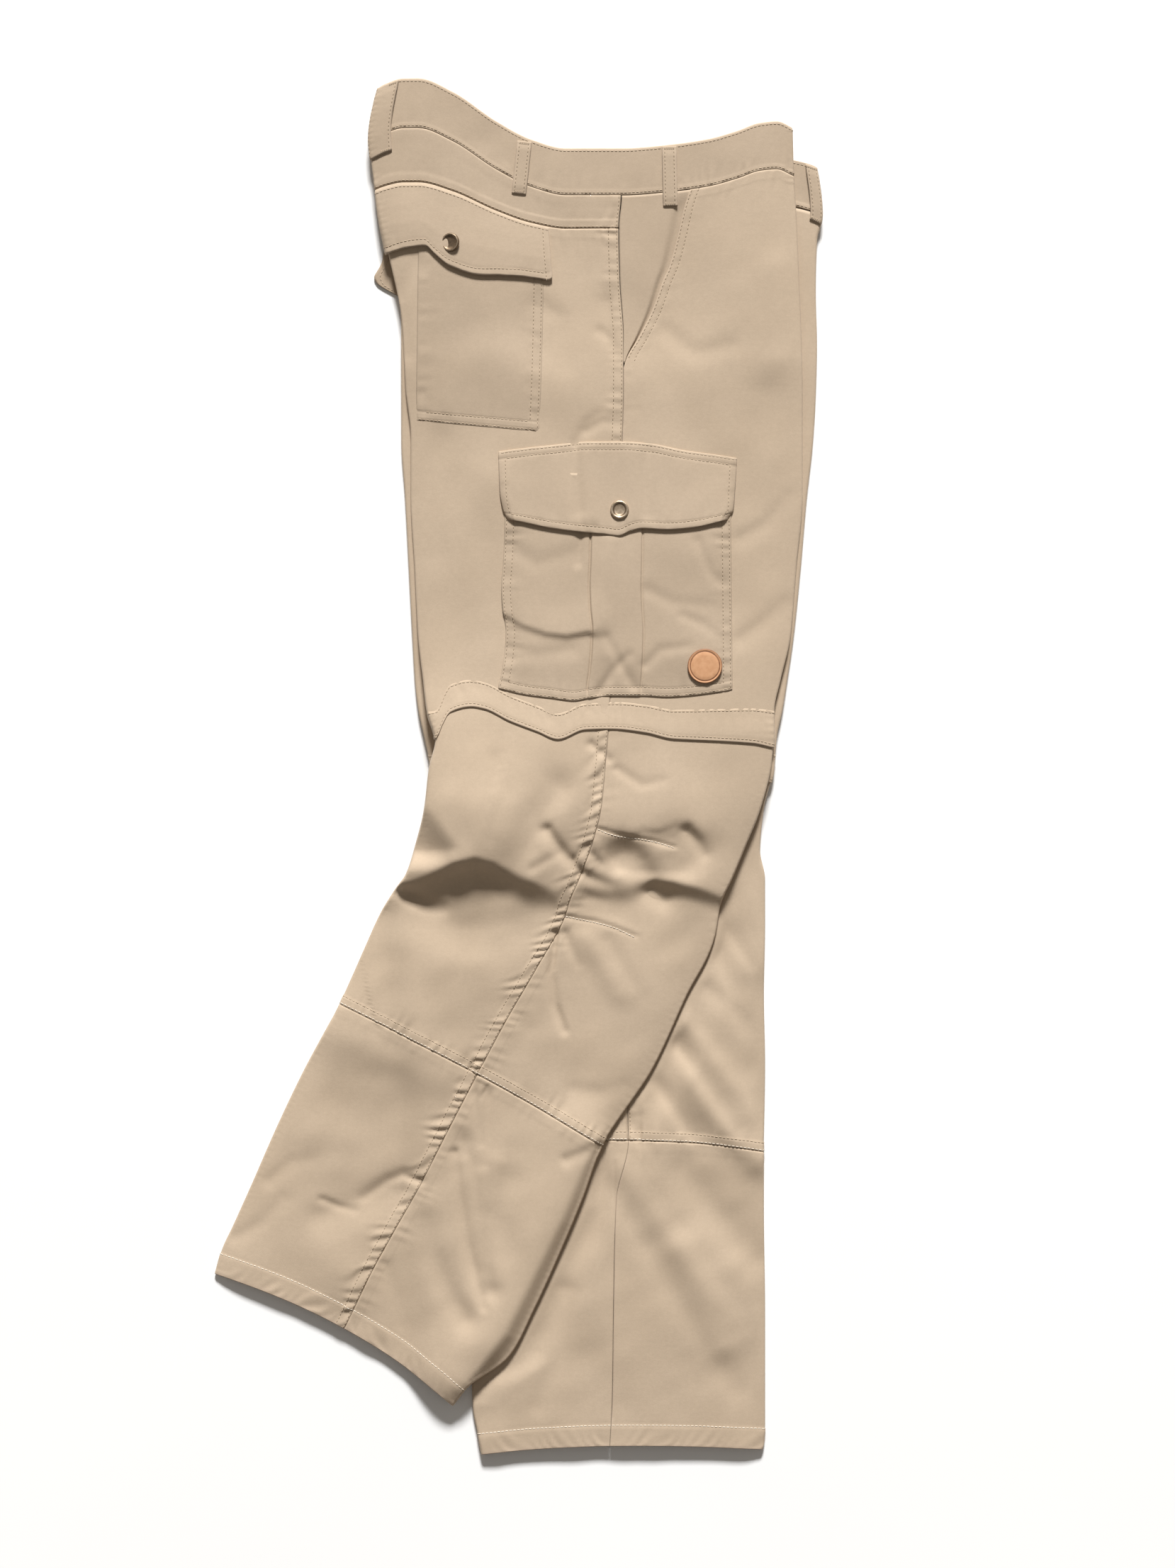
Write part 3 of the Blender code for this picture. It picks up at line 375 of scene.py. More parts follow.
def lattice(x, y, size, seed, cells=64):
    """Smooth uneven height between -1 and 1, with hills about one size apart."""
    table = np.random.RandomState(seed).uniform(-1, 1, (cells, cells))
    px = np.asarray(x, float) / size + 17.3
    py = np.asarray(y, float) / size + 5.9
    i = np.floor(px).astype(int)
    j = np.floor(py).astype(int)
    tx = ease(px - i)
    ty = ease(py - j)
    i, j, next_i, next_j = i % cells, j % cells, (i + 1) % cells, (j + 1) % cells
    low = table[i, j] * (1 - tx) + table[next_i, j] * tx
    high = table[i, next_j] * (1 - tx) + table[next_i, next_j] * tx
    return low * (1 - ty) + high * ty


def slack(x, y):
    """Gentle unevenness of cloth that was folded and laid by hand, more of it below the knee."""
    slanted_x, slanted_y = x + 0.6 * y, y - 0.6 * x
    limp = 0.4 + 0.6 * ease((600 - y) / 120)
    broad = 1.4 * lattice(slanted_x, slanted_y * 0.6, size=42, seed=3)
    small = 0.45 * lattice(slanted_x * 0.7, slanted_y, size=19, seed=8)
    return limp * (broad + small)


def right_top(x, y):
    """Outer face of the right leg; the middle of the hip sinks onto the left side beneath."""
    away = nearest_to(x, y, EDGE_X, EDGE_Y)
    crown = CROWN * (1 - np.exp(-away / CROWN_REACH))
    inside, inside_run = HIP_FROM_EDGE
    above, above_run = HIP_FROM
    sink = HIP_SINK * ease((away - inside) / inside_run) * ease((y - above) / above_run)
    press = EDGE_PRESS * np.exp(-away / EDGE_REACH)
    form = right_bottom(x, y) + TUBE + crown - press - sink + folds(RIGHT_FOLDS, x, y)
    return form + folds(RIGHT_CREASES, x, y) + slack(x, y) * ease(away / 25)


RIGHT = (right_plan, right_top, right_bottom)
LEFT = (left_plan, left_bottom, left_top)


def closer(count, length, band=14.0):
    """Shares from 0 to 1 that lie closer together near 0, for the stitching beside a seam."""
    near = np.arange(0, band, SEAM_STEP)
    far = np.linspace(band, length, max(3, count))
    return np.concatenate([near, far]) / length


def spread(columns):
    """Shares in a row, from a count or from an array of shares."""
    return (columns if np.ndim(columns) else np.linspace(0, 1, columns))[None, :]


def half_grid(leg, side, v, start, columns, inner_columns):
    """Rows of points from the outseam round one fold and back under to the inseam."""
    plan, outer, inner = leg
    v = np.asarray(v, float)[:, None]
    start = np.broadcast_to(np.asarray(start, float), (len(v),))[:, None]
    edge = np.stack(plan(side, v), axis=-1)
    near = np.stack(plan(NEAR_EDGE * side, v), axis=-1)
    length = np.linalg.norm(edge - near, axis=-1)
    rate = length / (1 - NEAR_EDGE)
    outward = (edge - near) / length[..., None]
    turn = 1 - FOLD_RADIUS / rate
    x, y = plan(side * (start + (turn - start) * spread(columns)), v)
    parts = [np.stack([x, y, outer(x, y)], axis=-1)]
    middle = edge - outward * FOLD_RADIUS
    high = outer(middle[..., 0], middle[..., 1])
    low = inner(middle[..., 0], middle[..., 1])
    for angle in np.linspace(90, -90, FOLD_POINTS + 2)[1:-1]:
        out = FOLD_RADIUS * math.cos(math.radians(angle))
        up = (high - low) / 2 * math.sin(math.radians(angle))
        spot = middle + outward * out
        parts.append(np.stack([spot[..., 0], spot[..., 1], (high + low) / 2 + up], axis=-1))
    reach = curve(REACH, v, 1 if side > 0 else 2)
    stop = turn - reach * (turn - 0.001)
    x, y = plan(side * (turn + (stop - turn) * spread(inner_columns)), v)
    parts.append(np.stack([x, y, inner(x, y)], axis=-1))
    return np.concatenate(parts, axis=1)


def slant_start(v):
    """Where the right front begins: on the slant pocket edge, below it at the side seam."""
    v = np.asarray(v, float)
    x = curve(SLANT, v)
    b = curve(RIGHT_ROWS, v, 1)
    s = curve(RIGHT_ROWS, v, 3)
    f = curve(RIGHT_ROWS, v, 4)
    bend = (f + b - 2 * s) / 2
    run = (f - b) / 2
    found = (-run + np.sqrt(run * run + 4 * bend * (x - s))) / (2 * bend)
    return np.where(v > SLANT_LOW, found, 0.0006)


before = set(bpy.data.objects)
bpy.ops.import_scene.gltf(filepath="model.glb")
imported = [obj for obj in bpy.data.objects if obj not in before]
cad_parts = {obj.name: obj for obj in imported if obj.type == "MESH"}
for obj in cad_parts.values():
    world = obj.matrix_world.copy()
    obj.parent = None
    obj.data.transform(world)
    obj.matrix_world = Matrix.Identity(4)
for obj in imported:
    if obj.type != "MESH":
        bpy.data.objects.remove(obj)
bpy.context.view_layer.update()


def socket(shader, name, value):
    shader.inputs[name].default_value = value


def link_noise(tree, where, scale, detail, rough=0.5):
    made = tree.nodes.new("ShaderNodeTexNoise")
    socket(made, "Scale", scale)
    socket(made, "Detail", detail)
    socket(made, "Roughness", rough)
    tree.links.new(where.outputs["Object"], made.inputs["Vector"])
    return made


def mixed(tree, share, first, second):
    """Colour between two, by a share from 0 to 1; either may be a colour or an output."""
    made = tree.nodes.new("ShaderNodeMix")
    made.data_type = "RGBA"
    tree.links.new(share, made.inputs["Factor"])
    for place, colour in ((6, first), (7, second)):
        if isinstance(colour, tuple):
            made.inputs[place].default_value = (*colour, 1)
        else:
            tree.links.new(colour, made.inputs[place])
    return made.outputs[2]


def ranged(tree, value, low, high, to_low, to_high):
    """A value between two limits brought to another range."""
    made = tree.nodes.new("ShaderNodeMapRange")
    socket(made, "From Min", low)
    socket(made, "From Max", high)
    socket(made, "To Min", to_low)
    socket(made, "To Max", to_high)
    tree.links.new(value, made.inputs["Value"])
    return made.outputs["Result"]


def joined(tree, operation, first, second):
    """Two values put together by one sum."""
    made = tree.nodes.new("ShaderNodeMath")
    made.operation = operation
    tree.links.new(first, made.inputs[0])
    tree.links.new(second, made.inputs[1])
    return made.outputs[0]


def bumped(tree, shader, height, strength, distance):
    made = tree.nodes.new("ShaderNodeBump")
    socket(made, "Strength", strength)
    socket(made, "Distance", distance)
    tree.links.new(height, made.inputs["Height"])
    tree.links.new(made.outputs["Normal"], shader.inputs["Normal"])


def canvas_material(name, base, pale, dusty):
    """Tight cotton canvas: uneven dye, thread grain, rubbed edges, a woven bump, soft sheen."""
    made = bpy.data.materials.new(name)
    made.use_nodes = True
    tree = made.node_tree
    shader = tree.nodes["Principled BSDF"]
    socket(shader, "Roughness", 0.8)
    socket(shader, "Sheen Weight", 0.12)
    socket(shader, "Sheen Roughness", 0.4)
    socket(shader, "Specular IOR Level", 0.3)
    where = tree.nodes.new("ShaderNodeTexCoord")
    cloudy = link_noise(tree, where, 14.0, 4.0, 0.55)
    grain = link_noise(tree, where, 700.0, 2.0)
    fleck = link_noise(tree, where, 260.0, 3.0, 0.6)
    share = ranged(tree, cloudy.outputs["Fac"], 0.3, 0.7, 0, 1)
    soft = mixed(tree, share, base, pale)
    share = ranged(tree, fleck.outputs["Fac"], 0.3, 0.7, 0.0, 0.22)
    dyed = mixed(tree, share, soft, tuple(0.78 * c for c in base))
    share = ranged(tree, grain.outputs["Fac"], 0.25, 0.75, 0.0, 0.16)
    grained = mixed(tree, share, dyed, tuple(0.72 * c for c in base))
    rubbed = tree.nodes.new("ShaderNodeAttribute")
    rubbed.attribute_name = "rubbed"
    patchy = link_noise(tree, where, 130.0, 3.0)
    share = ranged(tree, patchy.outputs["Fac"], 0.35, 0.65, 0.35, 1.0)
    worn = joined(tree, "MULTIPLY", rubbed.outputs["Fac"], share)
    tree.links.new(mixed(tree, worn, grained, dusty), shader.inputs["Base Color"])
    threads = []
    for direction in "XY":
        wave = tree.nodes.new("ShaderNodeTexWave")
        wave.bands_direction = direction
        socket(wave, "Scale", WEAVE)
        socket(wave, "Distortion", 1.2)
        socket(wave, "Detail", 1.0)
        tree.links.new(where.outputs["Object"], wave.inputs["Vector"])
        threads.append(wave.outputs["Fac"])
    crossed = joined(tree, "MULTIPLY", *threads)
    rough = joined(tree, "ADD", crossed, grain.outputs["Fac"])
    bumped(tree, shader, rough, 0.28, 0.00025)
    return made


def plain_material(name, base, other, scale, rough, metal=0.0, bump_depth=0.0):
    """A finish whose colour drifts between two tones, with a fine bump."""
    made = bpy.data.materials.new(name)
    made.use_nodes = True
    tree = made.node_tree
    shader = tree.nodes["Principled BSDF"]
    socket(shader, "Roughness", rough)
    socket(shader, "Metallic", metal)
    where = tree.nodes.new("ShaderNodeTexCoord")
    drift = link_noise(tree, where, scale, 4.0)
    share = ranged(tree, drift.outputs["Fac"], 0.35, 0.65, 0, 1)
    tree.links.new(mixed(tree, share, base, other), shader.inputs["Base Color"])
    if bump_depth:
        bumped(tree, shader, drift.outputs["Fac"], 0.4, bump_depth)
    return made


WEAVE = 620.0
CANVAS = canvas_material(
    "canvas", (0.495, 0.385, 0.275), (0.535, 0.42, 0.305), (0.56, 0.43, 0.33))
# Pieces above the zips get a canvas a little deeper in tone: painted shade for the light falling
# off towards the top of the garment
UPPER_CANVAS_PAINTED_SHADE = canvas_material(
    "canvas_upper_painted_shade", (0.458, 0.356, 0.2545), (0.495, 0.388, 0.282), (0.542, 0.423, 0.318))
# A darker copy of the canvas for the zip tapes and the inside of the left back flap: painted shade
# for pieces that lie in shadow under others
INSIDE_CANVAS_PAINTED_SHADE = canvas_material(
    "canvas_inside_painted_shade", (0.43, 0.33, 0.235), (0.47, 0.365, 0.26), (0.5, 0.38, 0.28))
THREAD = plain_material(
    "thread", (0.46, 0.36, 0.255), (0.38, 0.29, 0.2), 300.0, 0.7)
PALE_THREAD = plain_material(
    "pale_thread", (0.80, 0.73, 0.63), (0.66, 0.57, 0.46), 300.0, 0.7)
BRASS = plain_material(
    "antique_brass", (0.56, 0.45, 0.33), (0.38, 0.29, 0.20), 420.0, 0.42, 0.8, 0.0001)
# Dark brass: patina in the dish of the cargo snap, and painted shade over the whole back snap cap
BRASS_PATINA_AND_SHADE = plain_material(
    "antique_brass_patina_and_shade", (0.24, 0.17, 0.11), (0.14, 0.10, 0.065), 420.0, 0.5, 0.8)
LEATHER = plain_material(
    "leather", (0.66, 0.36, 0.19), (0.58, 0.30, 0.15), 260.0, 0.72, 0.0, 0.0002)
LEATHER_RIM = plain_material(
    "leather_rim", (0.33, 0.15, 0.07), (0.22, 0.09, 0.04), 300.0, 0.6)

pieces = {}
stitches = {"tone": [], "pale": []}


def mesh_object(name, points, faces, material, rubbed=None):
    """An object from points in table millimetres; rubbed says how worn each point is."""
    place = (np.asarray(points, float).reshape(-1, 3) - (MID_X, MID_Y, 0)) * MM
    faces = np.asarray(faces, np.int32)
    corners = faces.shape[1]
    mesh = bpy.data.meshes.new(name)
    mesh.vertices.add(len(place))
    mesh.vertices.foreach_set("co", place.astype(np.float32).ravel())
    mesh.loops.add(faces.size)
    mesh.loops.foreach_set("vertex_index", faces.ravel())
    mesh.polygons.add(len(faces))
    mesh.polygons.foreach_set("loop_start", np.arange(0, faces.size, corners, dtype=np.int32))
    mesh.update()
    mesh.validate()
    mesh.polygons.foreach_set("use_smooth", np.ones(len(faces), bool))
    if rubbed is not None:
        layer = mesh.attributes.new("rubbed", "FLOAT", "POINT")
        layer.data.foreach_set("value", np.asarray(rubbed, np.float32).ravel())
    made = bpy.data.objects.new(name, mesh)
    made.data.materials.append(material)
    bpy.context.scene.collection.objects.link(made)
    return made


def grid_faces(rows, columns, flip):
    """Squares between neighbouring points of a grid."""
    a = (np.arange(rows - 1)[:, None] * columns + np.arange(columns - 1)[None, :]).ravel()
    face = np.stack([a, a + 1, a + columns + 1, a + columns], axis=1)
    return face[:, ::-1] if flip else face


def normals(grid):
    along = np.gradient(grid, axis=0)
    over = np.gradient(grid, axis=1)
    normal = np.cross(along, over)
    return normal / np.maximum(np.linalg.norm(normal, axis=2, keepdims=True), 1e-9)


def moved_out(grid, distance, outward):
    return grid + normals(grid) * outward * np.asarray(distance, float)[..., None]


def turned(grid, edge):
    """The grid with the named edge as its first row."""
    if edge == "top":
        return grid
    if edge == "bottom":
        return grid[::-1]
    if edge == "start":
        return np.swapaxes(grid, 0, 1)
    return np.swapaxes(grid, 0, 1)[::-1]


def lengths(grid, edge):
    """Run along an edge and depth in from it, in millimetres, for each point of the grid."""
    work = turned(grid, edge)
    inward = np.linalg.norm(np.diff(work, axis=0), axis=2)
    inward = np.concatenate([np.zeros((1, work.shape[1])), np.cumsum(inward, axis=0)])
    along = np.linalg.norm(np.diff(work[0], axis=0), axis=1)
    along = np.broadcast_to(np.concatenate([[0], np.cumsum(along)])[None, :], inward.shape)
    if edge == "bottom":
        return along[::-1], inward[::-1]
    if edge == "start":
        return along.T, inward.T
    if edge == "end":
        return along[::-1].T, inward[::-1].T
    return along, inward


def relief(grid, outward, edge, profile):
    along, inward = lengths(grid, edge)
    return moved_out(grid, profile(along, inward), outward)


PUCKER_PITCH = 10.3
PUCKER_DEPTH = 6.0  # how far in from the seam the puckers reach at full height
SEAM_PINCH = 0.14


def felled(pucker, seed, raise_by=0.5, width=9.0, lean=0.1):
    """Beside a seam: the allowance stands up a little and its thread draws it into puckers."""
    def profile(along, inward):
        allowance = raise_by * ease(inward / 0.9) * ease((width + 0.8 - inward) / 1.4)
        drift = 0.45 * np.sin(along * 0.061 + seed) + 0.28 * np.sin(along * 0.173 + 2 * seed)
        turn = (along / PUCKER_PITCH + drift + lean * inward / PUCKER_PITCH) % 1.0
        bump = 2 * np.where(turn < 0.6, ease(turn / 0.6), ease((1 - turn) / 0.4)) - 1
        uneven = 0.35 * np.sin(along * 0.045 + 3 * seed) + 0.45 * np.sin(along * 0.19 + seed)
        length = 6.0 + 4.0 * np.sin(along * 0.13 + 5 * seed)
        beyond = np.maximum(inward - PUCKER_DEPTH, 0)
        near = ease(inward / 2.2) * np.exp(-(beyond / length) ** 2)
        pinch = SEAM_PINCH * np.exp(-(inward / 0.7) ** 2)
        return allowance + pucker * (0.75 + uneven) * bump * near - pinch
    return profile


def drawn(pucker, seed):
    """Beside a plain seam: hardly any ridge, and faint draws."""
    return felled(pucker, seed, 0.12, 8.0)


def rolled(depth):
    """An edge that turns down."""
    return lambda along, inward: -depth * np.exp(-(inward / 0.8) ** 2)


def groove(distance, depth=0.28):
    """The line that a row of stitches presses into the cloth."""
    return lambda along, inward: -depth * np.exp(-((inward - distance) / 0.7) ** 2)


def raised(distance, height):
    """Cloth turned in on itself up to a distance from the edge."""
    return lambda along, inward: height * ease((distance + 0.6 - inward) / 1.2)


def summed(*profiles):
    return lambda along, inward: sum(profile(along, inward) for profile in profiles)


STITCH_PITCH = 3.2
STITCH_WIDTH = 0.30  # half of it
STITCH_HEIGHT = 0.24
# Rings of one stitch: share of the pitch along it, size, height over the cloth
STITCH_RINGS = ((-0.42, 0.5, -0.25), (-0.26, 1.0, 0.08), (0.26, 1.0, 0.08), (0.42, 0.5, -0.25))
STITCH_SIDES = 6


def row_of_stitches(grid, outward, edge, distance, first=0.0, last=None,
                    thread="tone", pitch=STITCH_PITCH):
    """A row of stitches at a distance in from one edge of a grid, between two runs along it."""
    along, inward = lengths(grid, edge)
    work = turned(grid, edge)
    normal = turned(normals(grid) * outward, edge)
    depth = turned(inward[..., None], edge)[..., 0]
    run = turned(along[..., None], edge)[0, :, 0]
    count = work.shape[1]
    places = np.empty((count, 3))
    ups = np.empty((count, 3))
    for k in range(count):
        for axis in range(3):
            places[k, axis] = np.interp(distance, depth[:, k], work[:, k, axis])
            ups[k, axis] = np.interp(distance, depth[:, k], normal[:, k, axis])
    keep = (run >= first) & (run <= (run[-1] if last is None else last))
    sew(places[keep], ups[keep], thread, pitch)


def sew(places, ups, thread="tone", pitch=STITCH_PITCH):
    """Stitches along a line of places: short threads that dip into the cloth at their ends."""
    if len(places) < 2:
        return
    run = np.concatenate([[0], np.cumsum(np.linalg.norm(np.diff(places, axis=0), axis=1))])
    centres = np.arange(pitch / 2, run[-1], pitch)

    def read(values, at):
        return np.stack([np.interp(at, run, values[:, k]) for k in range(3)], axis=1)

    up = read(ups, centres)
    along = read(places, centres + 0.6) - read(places, centres - 0.6)
    along /= np.maximum(np.linalg.norm(along, axis=1, keepdims=True), 1e-6)
    up /= np.maximum(np.linalg.norm(up, axis=1, keepdims=True), 1e-6)
    stitches[thread].append((read(places, centres), along, np.cross(along, up), up, pitch))


def sewn_mesh(name, thread, material):
    """All stitches of one thread as one mesh, each a tube of four rings."""
    sides = STITCH_SIDES
    corners = len(STITCH_RINGS) * sides
    points = []
    faces = []
    base = 0
    for spots, along, side, up, pitch in stitches[thread]:
        block = []
        for share, size, sunk in STITCH_RINGS:
            for angle in np.radians(np.arange(sides) * 360 / sides):
                over = side * (STITCH_WIDTH * size * math.cos(angle))
                rise = up * (sunk + STITCH_HEIGHT * size * math.sin(angle))
                block.append(spots + along * share * pitch + over + rise)
        points.append(np.stack(block, axis=1).reshape(-1, 3))
        first = np.arange(len(spots))[:, None] * corners
        quads = []
        for k in range(len(STITCH_RINGS) - 1):
            for j in range(sides):
                a = k * sides + j
                b = k * sides + (j + 1) % sides
                quads.append(first + np.array([[a, b, b + sides, a + sides]]))
        faces.append(np.concatenate(quads) + base)
        base += len(spots) * corners
    made = mesh_object(name, np.concatenate(points), np.concatenate(faces), material)
    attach(made, "root")


def shell(name, grid, outward, wall=WALL, cloth=CANVAS, rub=()):
    """A cloth piece over its node: the grid is its outer face, and the wall goes inwards."""
    rows, columns = grid.shape[:2]
    grid[..., 2] = np.maximum(grid[..., 2], 0)
    rubbed = np.zeros((rows, columns))
    for edge, width, strength in rub:
        inward = lengths(grid, edge)[1]
        rubbed = np.maximum(rubbed, strength * np.exp(-inward / width))
    faces = grid_faces(rows, columns, outward > 0)
    made = mesh_object("cloth_" + name, grid, faces, cloth, rubbed)
    thick = made.modifiers.new("Cloth", "SOLIDIFY")
    thick.thickness = wall * MM
    thick.offset = -1.0
    thick.use_even_offset = False
    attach(made, "root")
    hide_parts(name)
    pieces[name] = (made, grid)


def steps(high, low, step=2.0, fine_top=0.0, fine_bottom=0.0):
    """Stations from high to low, closer together beside the ends that are sewn."""
    middle_high = high - fine_top
    middle_low = low + fine_bottom
    count = max(2, int(round((middle_high - middle_low) / step)) + 1)
    parts = []
    if fine_top:
        parts.append(np.arange(high, middle_high, -SEAM_STEP))
    parts.append(np.linspace(middle_high, middle_low, count))
    if fine_bottom:
        parts.append(np.arange(middle_low, low, -SEAM_STEP)[1:])
        parts.append(np.array([low]))
    return np.concatenate(parts)


# Places across a panel from the outseam to the fold, and on the side that isn't seen
FRONT_COLUMNS = closer(56, 140)
BACK_COLUMNS = closer(62, 160)
SHIN_COLUMNS = closer(46, 118)
LEFT_INNER = (SHIN_COLUMNS * -1 + 1)[::-1]
HIDDEN = 8
SEAM_GAP = 0.1  # between two panels, on either side of the line


def leg_panel(name, leg, side, v, columns, work=(), rows=(), start=0.0, inner=HIDDEN,
              rub=(), cloth=CANVAS):
    """A leg panel with its seams worked in: work lists the reliefs, rows the stitching."""
    grid = half_grid(leg, side, v, start, columns, inner)
    outward = side if leg is RIGHT else -side
    for edge, profile in work:
        grid = relief(grid, outward, edge, profile)
    grid[..., 2] = np.maximum(grid[..., 2], 0)
    for row in rows:
        row_of_stitches(grid, outward, *row)
    shell(name, grid, outward, WALL, cloth, rub)


# Waistbands: from centre front round to centre back
BAND_WALL = 1.6
BAND_RUB = (("top", 1.2, 0.7),)


def band_grid(leg, v, start, facing, columns, inner_columns):
    front = half_grid(leg, 1, v, start, columns, inner_columns)[:, ::-1]
    back = half_grid(leg, -1, v, 0, columns, inner_columns)
    if facing < 2:
        return np.concatenate([front, back[:, 1:]], axis=1)
    share = np.linspace(1, 0, facing)[None, 1:-1]
    x, y = leg[0](share * np.asarray(start)[:, None], np.asarray(v)[:, None])
    middle = np.stack([x, y, leg[1](x, y)], axis=-1)
    return np.concatenate([front, middle, back], axis=1)


def waistband(name, grid, outward, work):
    for edge, profile in work:
        grid = relief(grid, outward, edge, profile)
    row_of_stitches(grid, outward, "bottom", 2.0)
    row_of_stitches(grid, outward, "top", 2.4)
    shell(name, grid, outward, BAND_WALL, UPPER_CANVAS_PAINTED_SHADE, BAND_RUB)


band_v = steps(WAIST, BAND_SEAM + SEAM_GAP, 2.0, 5.0, 6.0)
slant_top = np.full(len(band_v), float(slant_start(BAND_SEAM)))
waistband("waistband_right", band_grid(RIGHT, band_v, slant_top, 28, 80, HIDDEN), -1,
          (("bottom", felled(0.3, 5.0, 0.15, 4.0)), ("top", rolled(0.5))))
waistband("waistband_left", band_grid(LEFT, band_v, 0, 0, 30, 40), 1,
          (("bottom", felled(0.15, 2.0, 0.3, 4.0)),))

# Right leg, on top
leg_panel("yoke_right", RIGHT, -1, steps(BAND_SEAM - SEAM_GAP, YOKE_SEAM + SEAM_GAP, 2.0, 4.0, 9.0),
          BACK_COLUMNS,
          (("top", drawn(0.12, 1.7)), ("bottom", felled(0.24, 0.4, 0.3, 7.0)),
           ("start", felled(0.1, 2.2, 0.3))),
          (("bottom", 1.6), ("start", 1.6)), cloth=UPPER_CANVAS_PAINTED_SHADE)
thigh_v = steps(BAND_SEAM - SEAM_GAP, ZIP_TOP, 2.2, 8.0, 3.0)
SLANT_RUN = 150  # length of the slant edge, which is double stitched
leg_panel("thigh_front_right", RIGHT, 1, thigh_v, FRONT_COLUMNS,
          (("top", drawn(0.2, 0.9)),
           ("start", lambda along, inward: felled(0.10, 3.1, 0.0)(along, inward)
            + groove(7.2, 0.25)(along, inward) * ease((SLANT_RUN - along) / 5))),
          (("start", 1.6, 0, SLANT_RUN), ("start", 7.2, 0, SLANT_RUN)),
          start=slant_start(thigh_v), rub=(("start", 1.0, 0.35),))
leg_panel("thigh_back_right", RIGHT, -1, steps(YOKE_SEAM - SEAM_GAP, ZIP_TOP, 2.2, 8.0, 3.0),
          BACK_COLUMNS,
          (("top", drawn(0.24, 4.4)), ("start", felled(0.26, 0.3, 0.35)), ("start", groove(8.2))),
          (("start", 1.5, 0, 172), ("start", 8.2, 0, 172)))
KNEE_V = steps(ZIP_LOW, CROSS_SEAM + SEAM_GAP, 1.5, 3.0, 12.0)
SHIN_V = steps(CROSS_SEAM - SEAM_GAP, HEM_LINE, 1.5, 5.0, 5.0)
CROSS_ROWS = (("bottom", 1.5, 0, None, "pale"), ("bottom", 7.4))
SIDE_ROWS = (("start", 1.6), ("start", 8.4))
HEM_DEPTH = 17.0
HEM_ROWS = (("bottom", HEM_DEPTH, 0, None, "pale"),)
HEM = (("bottom", raised(HEM_DEPTH, 0.35)), ("bottom", groove(HEM_DEPTH, 0.2)),
       ("bottom", felled(0.3, 2.0, 0.0, 4.0, 0.6)))
HEM_RUB = (("bottom", 1.6, 1.0),)


def cross_seam(pucker, seed):
    return ("bottom", felled(pucker, seed, 0.4, 8.0)), ("bottom", groove(7.4))


def side_seam(pucker, seed):
    return ("start", felled(pucker, seed, 0.45, 9.0, -0.5)), ("start", groove(8.4))


leg_panel("knee_front_right", RIGHT, 1, KNEE_V, FRONT_COLUMNS,
          (("start", drawn(0.15, 2.9)), *cross_seam(0.42, 1.1)), CROSS_ROWS)
leg_panel("knee_back_right", RIGHT, -1, KNEE_V, FRONT_COLUMNS,
          (*side_seam(0.6, 1.9), *cross_seam(0.42, 6.1)), (*CROSS_ROWS, *SIDE_ROWS))
leg_panel("shin_front_right", RIGHT, 1, SHIN_V, SHIN_COLUMNS,
          (("start", drawn(0.15, 0.2)), ("top", drawn(0.2, 5.2)), *HEM), HEM_ROWS, rub=HEM_RUB)
leg_panel("shin_back_right", RIGHT, -1, SHIN_V, SHIN_COLUMNS,
          (*side_seam(0.68, 4.0), ("top", drawn(0.2, 3.3)), *HEM),
          (*HEM_ROWS, *SIDE_ROWS), rub=HEM_RUB)

# Left leg, beneath: its outer side is hidden, its inner side shows below the knee
LEFT_ZIP_TOP = 557
LEFT_ZIP_LOW = 548
LEFT_CROSS = 255
LEFT_HEM = 8
leg_panel("yoke_left", LEFT, -1, steps(1019.7, 993.3, 4.0), 20)
leg_panel("thigh_front_left", LEFT, 1, steps(1019.1, LEFT_ZIP_TOP, 3.0), 14, inner=36)
leg_panel("thigh_back_left", LEFT, -1, steps(992.7, LEFT_ZIP_TOP, 4.0), 14, inner=14)
LEFT_KNEE_V = steps(LEFT_ZIP_LOW, LEFT_CROSS + SEAM_GAP, 2.1, 0.0, 12.0)
LEFT_SHIN_V = steps(LEFT_CROSS - SEAM_GAP, LEFT_HEM, 2.1, 5.0, 5.0)
leg_panel("knee_front_left", LEFT, 1, LEFT_KNEE_V, 12,
          (("end", drawn(0.15, 1.2)), *cross_seam(0.34, 3.6)),
          (*CROSS_ROWS, ("end", 1.6)), inner=LEFT_INNER)
leg_panel("knee_back_left", LEFT, -1, LEFT_KNEE_V, 12,
          (("end", felled(0.2, 1.0, 0.3)), *cross_seam(0.34, 2.6)), CROSS_ROWS, inner=40)
leg_panel("shin_front_left", LEFT, 1, LEFT_SHIN_V, 12, (("top", drawn(0.18, 5.9)), *HEM), HEM_ROWS,
          inner=LEFT_INNER, rub=(*HEM_RUB, ("end", 0.8, 0.5)))
leg_panel("shin_back_left", LEFT, -1, LEFT_SHIN_V, 12, (("top", drawn(0.18, 4.9)), *HEM), HEM_ROWS,
          inner=LEFT_INNER, rub=HEM_RUB)


